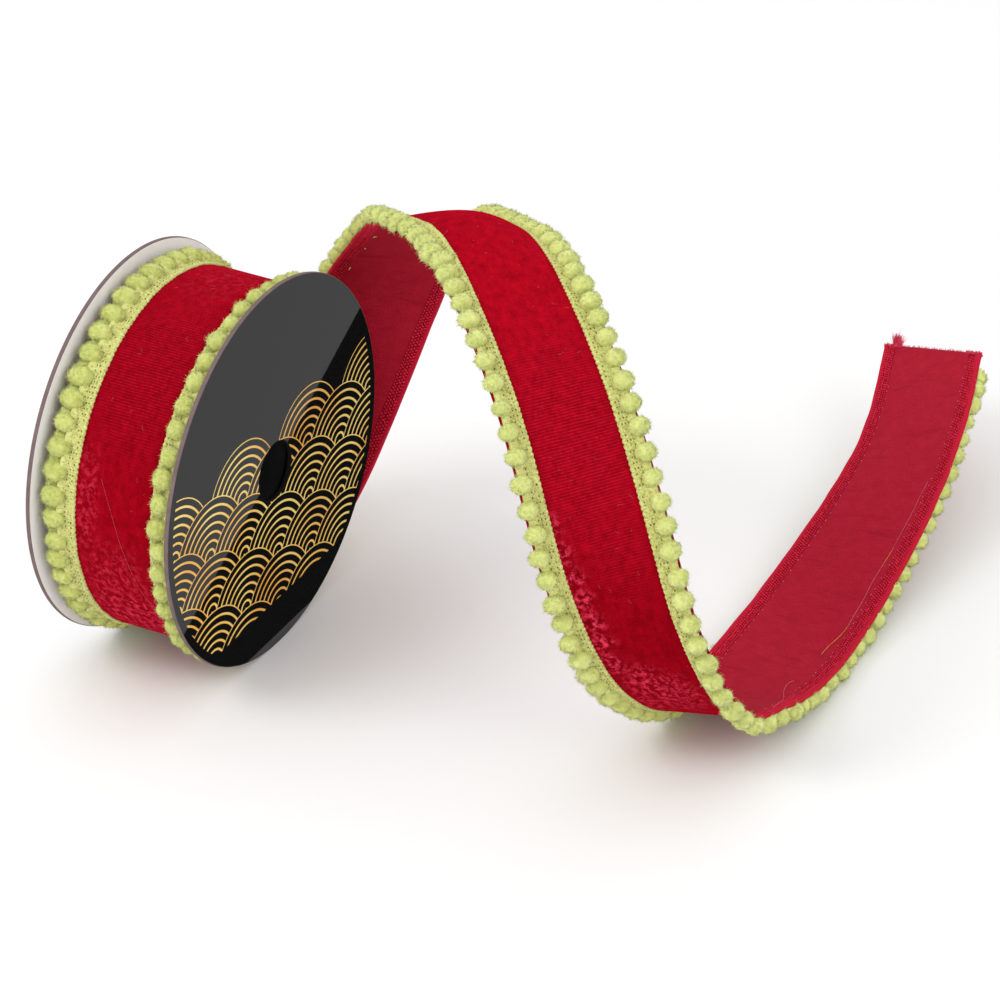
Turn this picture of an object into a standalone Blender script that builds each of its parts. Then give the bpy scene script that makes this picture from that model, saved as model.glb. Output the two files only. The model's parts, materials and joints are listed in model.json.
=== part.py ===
"""A card spool of velvet ribbon edged with pompom trim, its loose end arching out of the roll.

The spool stands on the rims of its two card flanges. Its axis lies along X, with the printed black
flange at the +X end and the white one at the -X end. The ribbon leaves the roll under its rear,
climbs behind it, arches over to +X, comes down in front, rests on its pompoms in a trough and rises
gently towards its cut end. The velvet faces outwards on the roll and on the outside of every bend.

Places on the spool are measured from the point of the floor under the black flange's outer face,
on the spool's axis plane. An empty then moves the whole model so that its box stands centred.
"""

import math
from collections import namedtuple

import bmesh
import bpy
import numpy as np

MM = 0.001

# Card spool
FLANGE_RADIUS = 0.0893
AXIS_HEIGHT = 0.089
CARD_THICKNESS = 0.002
SPOOL_WIDTH = 0.0714
HUB_HOLE_RADIUS = 0.014
FLANGE_SEGMENTS = 96

# Velvet ribbon
RIBBON_HALF_WIDTH = 0.0283
RIBBON_THICKNESS = 0.0012
RIBBON_MIDDLE_X = -0.032
TAIL_LENGTH = 0.8655
CUT_SKEW = 0.0105
TAIL_STEPS = 150
COLUMNS_ACROSS = 2

# Wound roll
TURN_THICKNESS = 0.0036
BORE_RADIUS = 0.0155
ROLL_SEGMENTS = 96
SEAM_WIDTH = math.radians(0.3)
TAIL_START = 0.0008

# Woven tape and its pompoms
TAPE_INNER = 0.0195
TAPE_OUTER = 0.0280
TAPE_THICKNESS = 0.0010
TAPE_GAP = 0.0007
POMPOM_PITCH = 0.01045
POMPOM_CENTRE = 0.0270
POMPOM_HALF_WIDTH = 0.0036
POMPOM_ROOT_HALF_WIDTH = 0.0016
POMPOM_ROOT_EDGE = 2
POMPOM_ROOT_INNER = 0.0245
POMPOM_CROWN_HALF_WIDTH = 0.0022
POMPOM_BELLY_HEIGHT = 0.0041
POMPOM_CROWN_HEIGHT = 0.0075
PRESS_GAP = 0.0004
RIM_REACH = 0.0030
FLOOR_GAP = 0.0002
BACK_EDGE_OFFSET = 0.925

# Pompoms on the outermost turn start where the loose end has climbed clear of them
Trim = namedtuple("Trim", "side offset tail_first tail_count roll_first roll_last")
FRONT_TRIM = Trim(side=1, offset=0.0, tail_first=1, tail_count=81, roll_first=1, roll_last=44)
BACK_TRIM = Trim(side=-1, offset=BACK_EDGE_OFFSET, tail_first=0, tail_count=83, roll_first=2, roll_last=39)

# The loose end: the middle of the ribbon in millimetres, and the heading of the line across it,
# from its back edge to its front edge, as a turn about the vertical and a bank, in degrees
Section = namedtuple("Section", "place x y z turn bank")
ROUTE = (
    Section("leaves the roll", -32, 37, 15, 0, 0),
    Section("behind the roll", -32, 71, 34, 10, -12),
    Section("climbs", -28, 102, 65, 19, -31),
    Section("climbs", -15, 118, 111, 35, -16),
    Section("back of the arch", 15, 108, 163, 48, -11),
    Section("back of the arch", 36, 87, 182, 48, -10),
    Section("crest", 66, 63, 195, 40, -6),
    Section("front of the arch", 113, 18, 193, 49, 1),
    Section("starts down", 149, -14, 168, 44, 2),
    Section("comes down", 176, -30, 117, 31, 11),
    Section("comes down", 188, -30, 84, 15, 35),
    Section("turns back", 207, 19, 17, 5, 13),
    Section("into the trough", 208, 26, 15, 10, 13),
    Section("trough", 208, 41, 12, -1, 10),
    Section("trough", 208, 74, 9, 1, 1),
    Section("trough", 207, 108, 8, 0, 0),
    Section("rises", 206, 187, 21, 0, 11),
    Section("rises", 200, 253, 37, -4, 22),
    Section("cut end", 186, 310, 54, -2, 25),
)
ROUTE_SAMPLES = 1500

Frame = namedtuple("Frame", "point along across outward")


def clear_scene():
    for obj in list(bpy.data.objects):
        bpy.data.objects.remove(obj, do_unlink=True)


def material(name, colour, roughness):
    """A plain coat: the card is smooth and the cloth and yarn are rough."""
    made = bpy.data.materials.new(name)
    made.use_nodes = True
    surface = made.node_tree.nodes["Principled BSDF"]
    surface.inputs["Base Color"].default_value = (*colour, 1.0)
    surface.inputs["Roughness"].default_value = roughness
    surface.inputs["Metallic"].default_value = 0.0
    return made


def solid(name, points, faces, coat, sharp_degrees=40.0):
    """A named object from points and faces, its faces turned outwards."""
    mesh = bpy.data.meshes.new(name)
    mesh.from_pydata([tuple(point) for point in points], [], faces)
    shell = bmesh.new()
    shell.from_mesh(mesh)
    bmesh.ops.recalc_face_normals(shell, faces=shell.faces)
    if shell.calc_volume(signed=True) < 0.0:
        bmesh.ops.reverse_faces(shell, faces=shell.faces)
    shell.to_mesh(mesh)
    shell.free()
    mesh.shade_smooth()
    mesh.set_sharp_from_angle(angle=math.radians(sharp_degrees))
    mesh.materials.append(coat)
    obj = bpy.data.objects.new(name, mesh)
    bpy.context.collection.objects.link(obj)
    return obj


def around_axis(angle, radius, x):
    """A point at an angle round the spool's axis, counted from +Y towards +Z."""
    return np.array((x, radius * math.cos(angle), AXIS_HEIGHT + radius * math.sin(angle)))


def pierced_block(name, outer, inner, x_back, x_front, coat):
    """The solid between two loops of (angle, radius), as long as each other, along the axis."""
    count = len(outer)
    points = []
    for x in (x_back, x_front):
        points.extend(around_axis(angle, radius, x) for angle, radius in outer)
        points.extend(around_axis(angle, radius, x) for angle, radius in inner)
    faces = []
    front = 2 * count
    for here in range(count):
        after = (here + 1) % count
        faces.append((here, after, count + after, count + here))
        faces.append((front + here, front + count + here, front + count + after, front + after))
        faces.append((here, front + here, front + after, after))
        faces.append((count + here, count + after, front + count + after, front + count + here))
    return solid(name, points, faces, coat)


def flange(name, x_back, coat):
    """A card disc with a round hub hole and a small flat where it stands on the floor."""
    step = 2.0 * math.pi / FLANGE_SEGMENTS
    rim = []
    hole = []
    for index in range(FLANGE_SEGMENTS):
        angle = (index + 0.5) * step
        drop = -math.sin(angle)
        radius = FLANGE_RADIUS
        if drop * FLANGE_RADIUS > AXIS_HEIGHT:
            radius = AXIS_HEIGHT / drop
        rim.append((angle, radius))
        hole.append((angle, HUB_HOLE_RADIUS))
    return pierced_block(name, rim, hole, x_back, x_back + CARD_THICKNESS, coat)


def departure():
    """The angle and radius at which the ribbon's middle surface leaves the roll."""
    first = ROUTE[0]
    rise = first.z * MM - AXIS_HEIGHT
    return math.atan2(rise, first.y * MM), math.hypot(first.y * MM, rise)


def wound_radius(turned):
    """Radius of the middle of the outermost turn, a whole turn being 1.0 at the departure."""
    return departure()[1] - TURN_THICKNESS * (1.0 - turned)


def ribbon_roll(coat):
    """The wound turns as one solid: a spiral outline that steps where the loose end leaves."""
    start = departure()[0]
    spiral = []
    bore = []
    for index in range(ROLL_SEGMENTS + 1):
        turned = index / ROLL_SEGMENTS
        angle = start + turned * (2.0 * math.pi - SEAM_WIDTH)
        spiral.append((angle, wound_radius(turned) + RIBBON_THICKNESS / 2.0))
        bore.append((start + 2.0 * math.pi * index / (ROLL_SEGMENTS + 1), BORE_RADIUS))
    x_back = RIBBON_MIDDLE_X - RIBBON_HALF_WIDTH
    x_front = RIBBON_MIDDLE_X + RIBBON_HALF_WIDTH
    return pierced_block("ribbon_roll", spiral, bore, x_back, x_front, coat)


def natural_spline(knots, values, samples):
    """Values and slopes at the samples of the natural cubic spline through the values."""
    spans = np.diff(knots)
    chords = np.diff(values, axis=0) / spans[:, None]
    count = len(knots)
    system = np.eye(count)
    right = np.zeros_like(values)
    for row in range(1, count - 1):
        system[row, row - 1] = spans[row - 1]
        system[row, row] = 2.0 * (spans[row - 1] + spans[row])
        system[row, row + 1] = spans[row]
        right[row] = 6.0 * (chords[row] - chords[row - 1])
    bends = np.linalg.solve(system, right)
    cell = np.clip(np.searchsorted(knots, samples, side="right") - 1, 0, count - 2)
    span = spans[cell][:, None]
    past = (samples - knots[cell])[:, None]
    low = bends[cell]
    growth = (bends[cell + 1] - low) / span
    start_slope = chords[cell] - span * low / 2.0 - span**2 * growth / 6.0
    curve = values[cell] + past * start_slope + past**2 * low / 2.0 + past**3 * growth / 6.0
    slope = start_slope + past * low + past**2 * growth / 2.0
    return curve, slope


class Route:
    """The loose end's middle line, read by the distance along it from the departure."""

    def __init__(self, sections):
        middle = np.array([(row.x, row.y, row.z) for row in sections]) * MM
        heading = np.radians(np.array([(row.turn, row.bank) for row in sections], dtype=float))
        chords = np.linalg.norm(np.diff(middle, axis=0), axis=1)
        self.knots = np.concatenate(([0.0], np.cumsum(chords)))
        self.values = np.hstack((middle, heading))
        self.places = np.linspace(0.0, self.knots[-1], ROUTE_SAMPLES)
        line = natural_spline(self.knots, self.values, self.places)[0][:, :3]
        steps = np.linalg.norm(np.diff(line, axis=0), axis=1)
        self.lengths = np.concatenate(([0.0], np.cumsum(steps)))

    def frame(self, distance):
        place = np.interp([distance], self.lengths, self.places)
        value, slope = natural_spline(self.knots, self.values, place)
        along = slope[0, :3] / np.linalg.norm(slope[0, :3])
        turn, bank = value[0, 3:]
        across = np.array((math.cos(turn) * math.cos(bank), math.sin(turn) * math.cos(bank), math.sin(bank)))
        across = across - along * across.dot(along)
        across = across / np.linalg.norm(across)
        return Frame(value[0, :3], along, across, np.cross(along, across))


def roll_frame(back):
    """The frame on the outermost turn at a distance back from the departure."""
    start, radius = departure()
    turned = 1.0 - back / (2.0 * math.pi * (radius - TURN_THICKNESS / 2.0))
    angle = start + 2.0 * math.pi * turned
    radius = wound_radius(turned)
    point = around_axis(angle, radius, RIBBON_MIDDLE_X)
    along = np.array((0.0, -math.sin(angle), math.cos(angle)))
    across = np.array((1.0, 0.0, 0.0))
    return Frame(point, along, across, np.cross(along, across))


def at(frame, across, outward):
    """The point that lies so far across the ribbon and out of its middle surface."""
    return frame.point + frame.across * across + frame.outward * outward


def loft(name, rings, coat):
    """A closed solid through rings of points, with a flat cap at each end."""
    size = len(rings[0])
    points = [point for ring in rings for point in ring]
    faces = []
    for ring in range(len(rings) - 1):
        here = ring * size
        after = here + size
        for corner in range(size):
            following = (corner + 1) % size
            faces.append((here + corner, here + following, after + following, after + corner))
    faces.append(tuple(range(size)))
    faces.append(tuple(range(len(points) - size, len(points))))
    return solid(name, points, faces, coat)


def ribbon_tail(route, coat):
    """The loose end of the ribbon: one sheet swept along its route, its end cut askew."""
    half = RIBBON_THICKNESS / 2.0
    offsets = np.linspace(-RIBBON_HALF_WIDTH, RIBBON_HALF_WIDTH, COLUMNS_ACROSS + 1)
    rings = []
    for step in range(TAIL_STEPS + 1):
        share = step / TAIL_STEPS
        upper = []
        lower = []
        for across in offsets:
            skew = -CUT_SKEW * share * across / RIBBON_HALF_WIDTH
            distance = TAIL_START + share * (TAIL_LENGTH - TAIL_START) + skew
            frame = route.frame(distance)
            upper.append(at(frame, across, half))
            lower.append(at(frame, across, -half))
        rings.append(upper + lower[::-1])
    return loft("ribbon_tail", rings, coat)


def press(point):
    """Yarn yields to the floor, and to the card beside it inside the flanges' rims."""
    x, y, z = point
    z = max(z, FLOOR_GAP)
    between_rims = math.hypot(y, z - AXIS_HEIGHT) < FLANGE_RADIUS + RIM_REACH
    if between_rims and x < POMPOM_HALF_WIDTH:
        front = -CARD_THICKNESS - PRESS_GAP
        back = CARD_THICKNESS - SPOOL_WIDTH + PRESS_GAP
        x = min(max(x, back), front)
    return np.array((x, y, z))


def tape_profile(frame, side):
    """The tape's section, from its inner lower edge round to its inner upper edge."""
    low = RIBBON_THICKNESS / 2.0 + TAPE_GAP
    high = low + TAPE_THICKNESS
    corners = (
        (TAPE_INNER, low),
        (TAPE_OUTER, low),
        (TAPE_OUTER, high),
        (POMPOM_ROOT_INNER, high),
        (TAPE_INNER, high),
    )
    return [at(frame, side * across, outward) for across, outward in corners]


def pompom_ring(frame, side, half_width, outward):
    """Four corners round a pompom, in the order of its root on the tape."""
    corners = []
    for along, across in ((-1, 1), (1, 1), (1, -1), (-1, -1)):
        middle = at(frame, side * (POMPOM_CENTRE + across * half_width), outward)
        corners.append(press(middle + frame.along * along * half_width))
    return corners


def pompom_trim(name, frame_at, side, distances, coat):
    """A strip of tape along the ribbon's edge with a four-sided pompom at each distance."""
    points = []
    faces = []
    sections = []
    margin = POMPOM_PITCH / 2.0 - POMPOM_ROOT_HALF_WIDTH
    places = [distances[0] - POMPOM_ROOT_HALF_WIDTH - margin]
    for distance in distances:
        places.extend((distance - POMPOM_ROOT_HALF_WIDTH, distance + POMPOM_ROOT_HALF_WIDTH))
    places.append(distances[-1] + POMPOM_ROOT_HALF_WIDTH + margin)
    for place in places:
        sections.append(len(points))
        points.extend(tape_profile(frame_at(place), side))
    size = len(points) // len(sections)
    for index in range(len(sections) - 1):
        here, after = sections[index], sections[index + 1]
        is_pompom = index % 2 == 1
        for corner in range(size):
            following = (corner + 1) % size
            if is_pompom and corner == POMPOM_ROOT_EDGE:
                continue
            faces.append((here + corner, here + following, after + following, after + corner))
        if not is_pompom:
            continue
        frame = frame_at(distances[index // 2])
        root = here + POMPOM_ROOT_EDGE
        root_after = after + POMPOM_ROOT_EDGE
        ring = [root, root_after, root_after + 1, root + 1]
        for half_width, outward in (
            (POMPOM_HALF_WIDTH, POMPOM_BELLY_HEIGHT),
            (POMPOM_CROWN_HALF_WIDTH, POMPOM_CROWN_HEIGHT),
        ):
            above = list(range(len(points), len(points) + len(ring)))
            points.extend(pompom_ring(frame, side, half_width, outward))
            for corner in range(len(ring)):
                following = (corner + 1) % len(ring)
                faces.append((ring[corner], ring[following], above[following], above[corner]))
            ring = above
        faces.append(tuple(ring))
    faces.append(tuple(range(size)))
    faces.append(tuple(range(sections[-1], sections[-1] + size)))
    return solid(name, points, faces, coat)


def tail_trim(name, route, trim, coat):
    """The trim along one edge of the loose end, a pompom at each pitch from the departure."""
    distances = [(index + trim.offset) * POMPOM_PITCH for index in range(trim.tail_first, trim.tail_count)]
    return pompom_trim(name, route.frame, trim.side, distances, coat)


def roll_trim(name, trim, coat):
    """The trim along one edge of the outermost turn, counted back from the departure."""
    indices = range(trim.roll_last, trim.roll_first - 1, -1)
    distances = [-(index - trim.offset) * POMPOM_PITCH for index in indices]
    return pompom_trim(name, lambda place: roll_frame(-place), trim.side, distances, coat)


def centre_on_floor(objects):
    """Hangs the model from an empty that puts the middle of its box over the world's origin."""
    places = np.array([tuple(vertex.co) for obj in objects for vertex in obj.data.vertices])
    middle = (places.min(axis=0) + places.max(axis=0)) / 2.0
    holder = bpy.data.objects.new("floor_point_under_front_flange", None)
    holder.location = (-middle[0], -middle[1], 0.0)
    bpy.context.collection.objects.link(holder)
    for obj in objects:
        obj.parent = holder


def build():
    clear_scene()
    black_card = material("black printed card", (0.006, 0.007, 0.008), 0.22)
    white_card = material("white card", (0.70, 0.69, 0.72), 0.55)
    velvet = material("red velvet", (0.36, 0.004, 0.016), 0.85)
    lime_yarn = material("lime yarn", (0.52, 0.60, 0.12), 0.95)
    route = Route(ROUTE)
    objects = [
        flange("flange_front", -CARD_THICKNESS, black_card),
        flange("flange_back", -SPOOL_WIDTH, white_card),
        ribbon_roll(velvet),
        ribbon_tail(route, velvet),
        roll_trim("trim_roll_front", FRONT_TRIM, lime_yarn),
        roll_trim("trim_roll_back", BACK_TRIM, lime_yarn),
        tail_trim("trim_tail_front", route, FRONT_TRIM, lime_yarn),
        tail_trim("trim_tail_back", route, BACK_TRIM, lime_yarn),
    ]
    centre_on_floor(objects)


build()
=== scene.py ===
# %% [markdown]
# # A spool of velvet ribbon edged with pompoms
# The object is a card spool. A red velvet ribbon is wound on it, with a woven lime tape sewn along
# each edge of the velvet, and the tape carries a row of cut pompoms. The loose end arches out of the
# roll, comes down in front, rests on its pompoms and rises to its cut end. Everything here is dressed
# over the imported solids, so the first step loads them and reads the spool's place from them.

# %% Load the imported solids
import json
import math

import bmesh
import bpy
import numpy as np
from mathutils import Matrix, Vector

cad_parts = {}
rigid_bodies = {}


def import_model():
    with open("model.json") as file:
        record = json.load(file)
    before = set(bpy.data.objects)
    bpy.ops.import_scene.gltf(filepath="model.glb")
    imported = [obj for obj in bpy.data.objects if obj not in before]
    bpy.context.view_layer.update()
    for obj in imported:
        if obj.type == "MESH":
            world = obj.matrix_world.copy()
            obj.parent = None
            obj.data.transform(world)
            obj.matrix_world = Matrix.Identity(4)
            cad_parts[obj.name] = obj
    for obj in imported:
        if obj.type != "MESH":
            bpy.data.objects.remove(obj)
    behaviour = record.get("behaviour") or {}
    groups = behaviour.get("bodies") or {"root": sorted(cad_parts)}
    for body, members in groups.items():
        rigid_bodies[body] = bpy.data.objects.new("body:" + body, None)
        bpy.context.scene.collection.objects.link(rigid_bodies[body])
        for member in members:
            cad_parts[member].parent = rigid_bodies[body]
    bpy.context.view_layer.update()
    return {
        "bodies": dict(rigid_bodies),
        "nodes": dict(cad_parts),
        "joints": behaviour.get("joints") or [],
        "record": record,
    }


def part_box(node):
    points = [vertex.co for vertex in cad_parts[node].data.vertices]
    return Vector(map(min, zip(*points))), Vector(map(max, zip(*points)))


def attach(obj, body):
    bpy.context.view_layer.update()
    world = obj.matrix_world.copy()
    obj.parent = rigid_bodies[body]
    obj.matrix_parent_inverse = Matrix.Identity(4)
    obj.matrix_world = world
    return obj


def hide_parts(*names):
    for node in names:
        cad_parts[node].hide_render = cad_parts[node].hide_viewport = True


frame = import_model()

MM = 0.001
flange_low, flange_high = (np.array(corner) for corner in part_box("flange_front"))
back_low = np.array(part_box("flange_back")[0])
SPOOL_FACE_X = float(flange_high[0])
SPOOL_BACK_X = float(back_low[0])
AXIS_Y = float(flange_low[1] + flange_high[1]) / 2.0
AXIS_Z = 0.089
SPOOL_POINT = np.array((SPOOL_FACE_X, AXIS_Y, 0.0))
CARD = float(flange_high[0] - flange_low[0])
print("spool face at x", round(SPOOL_FACE_X, 4), "card", round(CARD, 4))

# %% [markdown]
# ## Points, faces and one mesh
# A trimming is thousands of small like shapes. Blender could make them with modifiers or one
# operator call each, but whole arrays of points are faster and stay exact, so a helper turns numpy
# arrays of points and faces into one mesh. Its cloth coordinates, along and across the ribbon in
# metres, are kept as a UV map that the weave and the pile read later.

# %% Arrays into a mesh
def array_mesh(name, points, face_sets, cloth=None, materials=(), face_materials=None, smooth=True):
    """A mesh object from an (N, 3) array and a list of (M, 3) or (M, 4) arrays of corners."""
    mesh = bpy.data.meshes.new(name)
    loops = np.concatenate([faces.reshape(-1) for faces in face_sets]).astype(np.int32)
    sizes = np.concatenate([np.full(len(faces), faces.shape[1]) for faces in face_sets])
    starts = np.concatenate(([0], np.cumsum(sizes)[:-1])).astype(np.int32)
    mesh.vertices.add(len(points))
    mesh.vertices.foreach_set("co", np.asarray(points, dtype=np.float32).reshape(-1))
    mesh.loops.add(len(loops))
    mesh.loops.foreach_set("vertex_index", loops)
    mesh.polygons.add(len(sizes))
    mesh.polygons.foreach_set("loop_start", starts)
    mesh.update(calc_edges=True)
    for material in materials:
        mesh.materials.append(material)
    if face_materials is not None:
        mesh.polygons.foreach_set("material_index", np.asarray(face_materials, dtype=np.int32))
    if cloth is not None:
        layer = mesh.uv_layers.new(name="cloth")
        layer.data.foreach_set("uv", np.asarray(cloth, dtype=np.float32)[loops].reshape(-1))
    mesh.polygons.foreach_set("use_smooth", np.full(len(sizes), smooth))
    mesh.validate()
    obj = bpy.data.objects.new(name, mesh)
    bpy.context.collection.objects.link(obj)
    return obj


def grid_faces(rows, columns, closed=False):
    """Corners of the quads of a grid of points, row by row, joined round across if closed.

    A face looks along the way the rows run crossed with the way the columns run.
    """
    row = np.arange(rows - 1)[:, None] * columns
    column = np.arange(columns if closed else columns - 1)[None, :]
    following = (column + 1) % columns
    here = row + column
    beside = row + following
    quads = np.stack((here, here + columns, beside + columns, beside), axis=-1)
    return quads.reshape(-1, 4)


def turned_faces(segments, columns):
    """Outward quads of a section of points that is turned all the way round an axis."""
    quads = grid_faces(segments, columns, closed=True)
    here = np.arange(columns)
    beside = (here + 1) % columns
    last = (segments - 1) * columns
    seam = np.stack((here + last, here, beside, beside + last), axis=1)
    return np.concatenate((quads, seam))[:, ::-1]


def end_caps(rows, columns):
    """Fans of triangles that close the first and the last row of a grid joined round across."""
    step = np.arange(1, columns - 1)
    start = np.stack((np.zeros_like(step), step, step + 1), axis=1)
    end = start[:, ::-1] + (rows - 1) * columns
    return np.concatenate((start, end))


print("a grid of 3 by 4 points has", len(grid_faces(3, 4)), "faces")

# %% [markdown]
# ## The ribbon's route
# A real ribbon bends only one way at a time: it curves along its length and turns slowly about it,
# and the line across it stays straight. So its shape is a middle line with a heading for the line
# across. A few listed sections give both, a cubic spline joins them, and the turns on the
# roll are a spiral that ends where the middle line begins. Distances are positive on the loose end
# and negative back along the roll.

# %% The sections of the loose end
SECTIONS = (
    # x, y, z of the ribbon's middle in mm from the floor under the black face, turn, bank in degrees
    (-32, 37, 15, 0, 0),
    (-32, 71, 34, 10, -12),
    (-28, 102, 65, 19, -31),
    (-15, 118, 111, 35, -16),
    (15, 108, 163, 48, -11),
    (36, 87, 182, 48, -10),
    (66, 63, 195, 40, -6),
    (113, 18, 193, 49, 1),
    (149, -14, 168, 44, 2),
    (176, -30, 117, 31, 11),
    (188, -30, 84, 15, 35),
    (207, 19, 17, 5, 13),
    (208, 26, 15, 10, 13),
    (208, 41, 12, -1, 10),
    (208, 74, 9, 1, 1),
    (207, 108, 8, 0, 0),
    (206, 187, 21, 0, 11),
    (200, 253, 37, -4, 22),
    (186, 310, 54, -2, 25),
)
RIBBON_MIDDLE_X = -0.032
TURN_THICKNESS = 0.0036
ROUTE_STEPS = 1500


def natural_spline(knots, values, samples):
    """Values and slopes at the samples of the natural cubic spline through the values."""
    spans = np.diff(knots)
    chords = np.diff(values, axis=0) / spans[:, None]
    count = len(knots)
    system = np.eye(count)
    right = np.zeros_like(values)
    for row in range(1, count - 1):
        system[row, row - 1] = spans[row - 1]
        system[row, row] = 2.0 * (spans[row - 1] + spans[row])
        system[row, row + 1] = spans[row]
        right[row] = 6.0 * (chords[row] - chords[row - 1])
    bends = np.linalg.solve(system, right)
    cell = np.clip(np.searchsorted(knots, samples, side="right") - 1, 0, count - 2)
    span = spans[cell][:, None]
    past = (samples - knots[cell])[:, None]
    low = bends[cell]
    growth = (bends[cell + 1] - low) / span
    start_slope = chords[cell] - span * low / 2.0 - span**2 * growth / 6.0
    curve = values[cell] + past * start_slope + past**2 * low / 2.0 + past**3 * growth / 6.0
    slope = start_slope + past * low + past**2 * growth / 2.0
    return curve, slope


def lengths_along(points):
    """How far along the line through the points each one lies."""
    return np.concatenate(([0.0], np.cumsum(np.linalg.norm(np.diff(points, axis=0), axis=1))))


route_middle = np.array([row[:3] for row in SECTIONS]) * MM
route_heading = np.radians(np.array([row[3:] for row in SECTIONS], dtype=float))
route_knots = lengths_along(route_middle)
route_values = np.hstack((route_middle, route_heading))
route_places = np.linspace(0.0, route_knots[-1], ROUTE_STEPS)
route_line = natural_spline(route_knots, route_values, route_places)[0][:, :3]
route_lengths = lengths_along(route_line)
DEPARTURE_RADIUS = math.hypot(route_middle[0, 1], route_middle[0, 2] - AXIS_Z)
DEPARTURE_ANGLE = math.atan2(route_middle[0, 2] - AXIS_Z, route_middle[0, 1])
print("route", round(route_lengths[-1], 4), "m, leaves the roll at radius", round(DEPARTURE_RADIUS, 4))


# %% Frames along the ribbon: place, along, across and outward at each distance
def unit(vectors):
    return vectors / np.linalg.norm(vectors, axis=-1, keepdims=True)


def tail_frames(distances):
    """Points, along and across on the loose end, and straight on beyond its last section."""
    beyond = np.maximum(distances - route_lengths[-1], 0.0)
    places = np.interp(distances, route_lengths, route_places) + beyond
    values, slopes = natural_spline(route_knots, route_values, places)
    along = unit(slopes[:, :3])
    turn, bank = values[:, 3], values[:, 4]
    across = np.stack((np.cos(turn) * np.cos(bank), np.sin(turn) * np.cos(bank), np.sin(bank)), axis=1)
    across = unit(across - along * (across * along).sum(axis=1, keepdims=True))
    return values[:, :3], along, across


def roll_frames(distances):
    """Points, along and across on the turns of the roll, where distances are negative."""
    turned = 1.0 + distances / (2.0 * math.pi * (DEPARTURE_RADIUS - TURN_THICKNESS / 2.0))
    angle = DEPARTURE_ANGLE + 2.0 * math.pi * turned
    radius = DEPARTURE_RADIUS - TURN_THICKNESS * (1.0 - turned)
    zero = np.zeros_like(angle)
    middle_x = zero + RIBBON_MIDDLE_X
    point = np.stack((middle_x, radius * np.cos(angle), AXIS_Z + radius * np.sin(angle)), axis=1)
    along = np.stack((zero, -np.sin(angle), np.cos(angle)), axis=1)
    across = np.stack((zero + 1.0, zero, zero), axis=1)
    return point, along, across


def ribbon_frames(distances):
    """Point, along, across and outward unit vectors at each distance, in world metres."""
    distances = np.atleast_1d(np.asarray(distances, dtype=float))
    on_tail = (distances >= 0.0)[:, None]
    tail = tail_frames(np.maximum(distances, 0.0))
    roll = roll_frames(np.minimum(distances, 0.0))
    point, along, across = (np.where(on_tail, t, r) for t, r in zip(tail, roll))
    return point + SPOOL_POINT, along, across, np.cross(along, across)


def ribbon_points(distances, across, outward):
    """World points at places along, across and out of the ribbon's middle, in arrays that fit."""
    shape = np.broadcast_shapes(np.shape(distances), np.shape(across), np.shape(outward))
    distances, across, outward = (
        np.broadcast_to(array, shape).reshape(-1) for array in (distances, across, outward)
    )
    point, _, side, out = ribbon_frames(distances)
    return point + side * across[:, None] + out * outward[:, None]


print("the loose end stops at", ribbon_points(route_lengths[-1], 0.0, 0.0).round(4))

# %% [markdown]
# ## Camera, floor and light
# A long lens from the front right and above keeps both discs near their true ovals. The object
# stands on a plain pale floor in soft light from all round. A sky alone would flatten the folds, so
# one large soft lamp from the left models them, and a weaker one fills from the right.

# %% Camera
CAMERA_FROM_SPOOL = (0.79226, -1.30422, 1.01073)
CAMERA_RIGHT = (0.884984, 0.465594, 0.005002)
CAMERA_DOWN = (0.247585, -0.461449, -0.851920)
CAMERA_FORWARD = (-0.394340, 0.755174, -0.523649)
FOCAL_LENGTH_MM = 146.16
SENSOR_MM = 36.0

camera_data = bpy.data.cameras.new("camera")
camera_data.lens = FOCAL_LENGTH_MM
camera_data.sensor_width = SENSOR_MM
camera = bpy.data.objects.new("camera", camera_data)
rotation = Matrix((CAMERA_RIGHT, [-d for d in CAMERA_DOWN], [-f for f in CAMERA_FORWARD])).transposed()
camera.matrix_world = Matrix.Translation(Vector(SPOOL_POINT) + Vector(CAMERA_FROM_SPOOL)) @ rotation.to_4x4()
bpy.context.collection.objects.link(camera)
bpy.context.scene.camera = camera
bpy.context.scene.view_settings.view_transform = "Standard"


# %% Floor, sky and lamps
def plain_material(name, colour, roughness):
    material = bpy.data.materials.new(name)
    material.use_nodes = True
    surface = material.node_tree.nodes["Principled BSDF"]
    surface.inputs["Base Color"].default_value = (*colour, 1.0)
    surface.inputs["Roughness"].default_value = roughness
    return material


def flat_panel(name, corners, material):
    mesh = bpy.data.meshes.new(name)
    mesh.from_pydata([tuple(corner) for corner in corners], [], [(0, 1, 2, 3)])
    mesh.materials.append(material)
    panel = bpy.data.objects.new(name, mesh)
    bpy.context.collection.objects.link(panel)
    return panel


FLOOR_HALF = 6.0
FLOOR_DROP = 0.0002
SKY_STRENGTH = 0.92
LAMPS = (
    # name, place, size and watts
    ("left lamp", (-0.9, -1.2, 1.5), 0.8, 12.0),
    ("right lamp", (1.5, -0.6, 1.3), 1.0, 5.0),
)
LAMP_TARGET = (0.0, 0.0, 0.08)
flat_panel(
    "floor",
    [(x * FLOOR_HALF, y * FLOOR_HALF, -FLOOR_DROP) for x, y in ((-1, -1), (1, -1), (1, 1), (-1, 1))],
    plain_material("pale floor", (0.93, 0.93, 0.93), 0.9),
)

world = bpy.data.worlds.new("soft sky")
world.use_nodes = True
world.node_tree.nodes["Background"].inputs["Color"].default_value = (1.0, 1.0, 1.0, 1.0)
world.node_tree.nodes["Background"].inputs["Strength"].default_value = SKY_STRENGTH
bpy.context.scene.world = world


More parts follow.
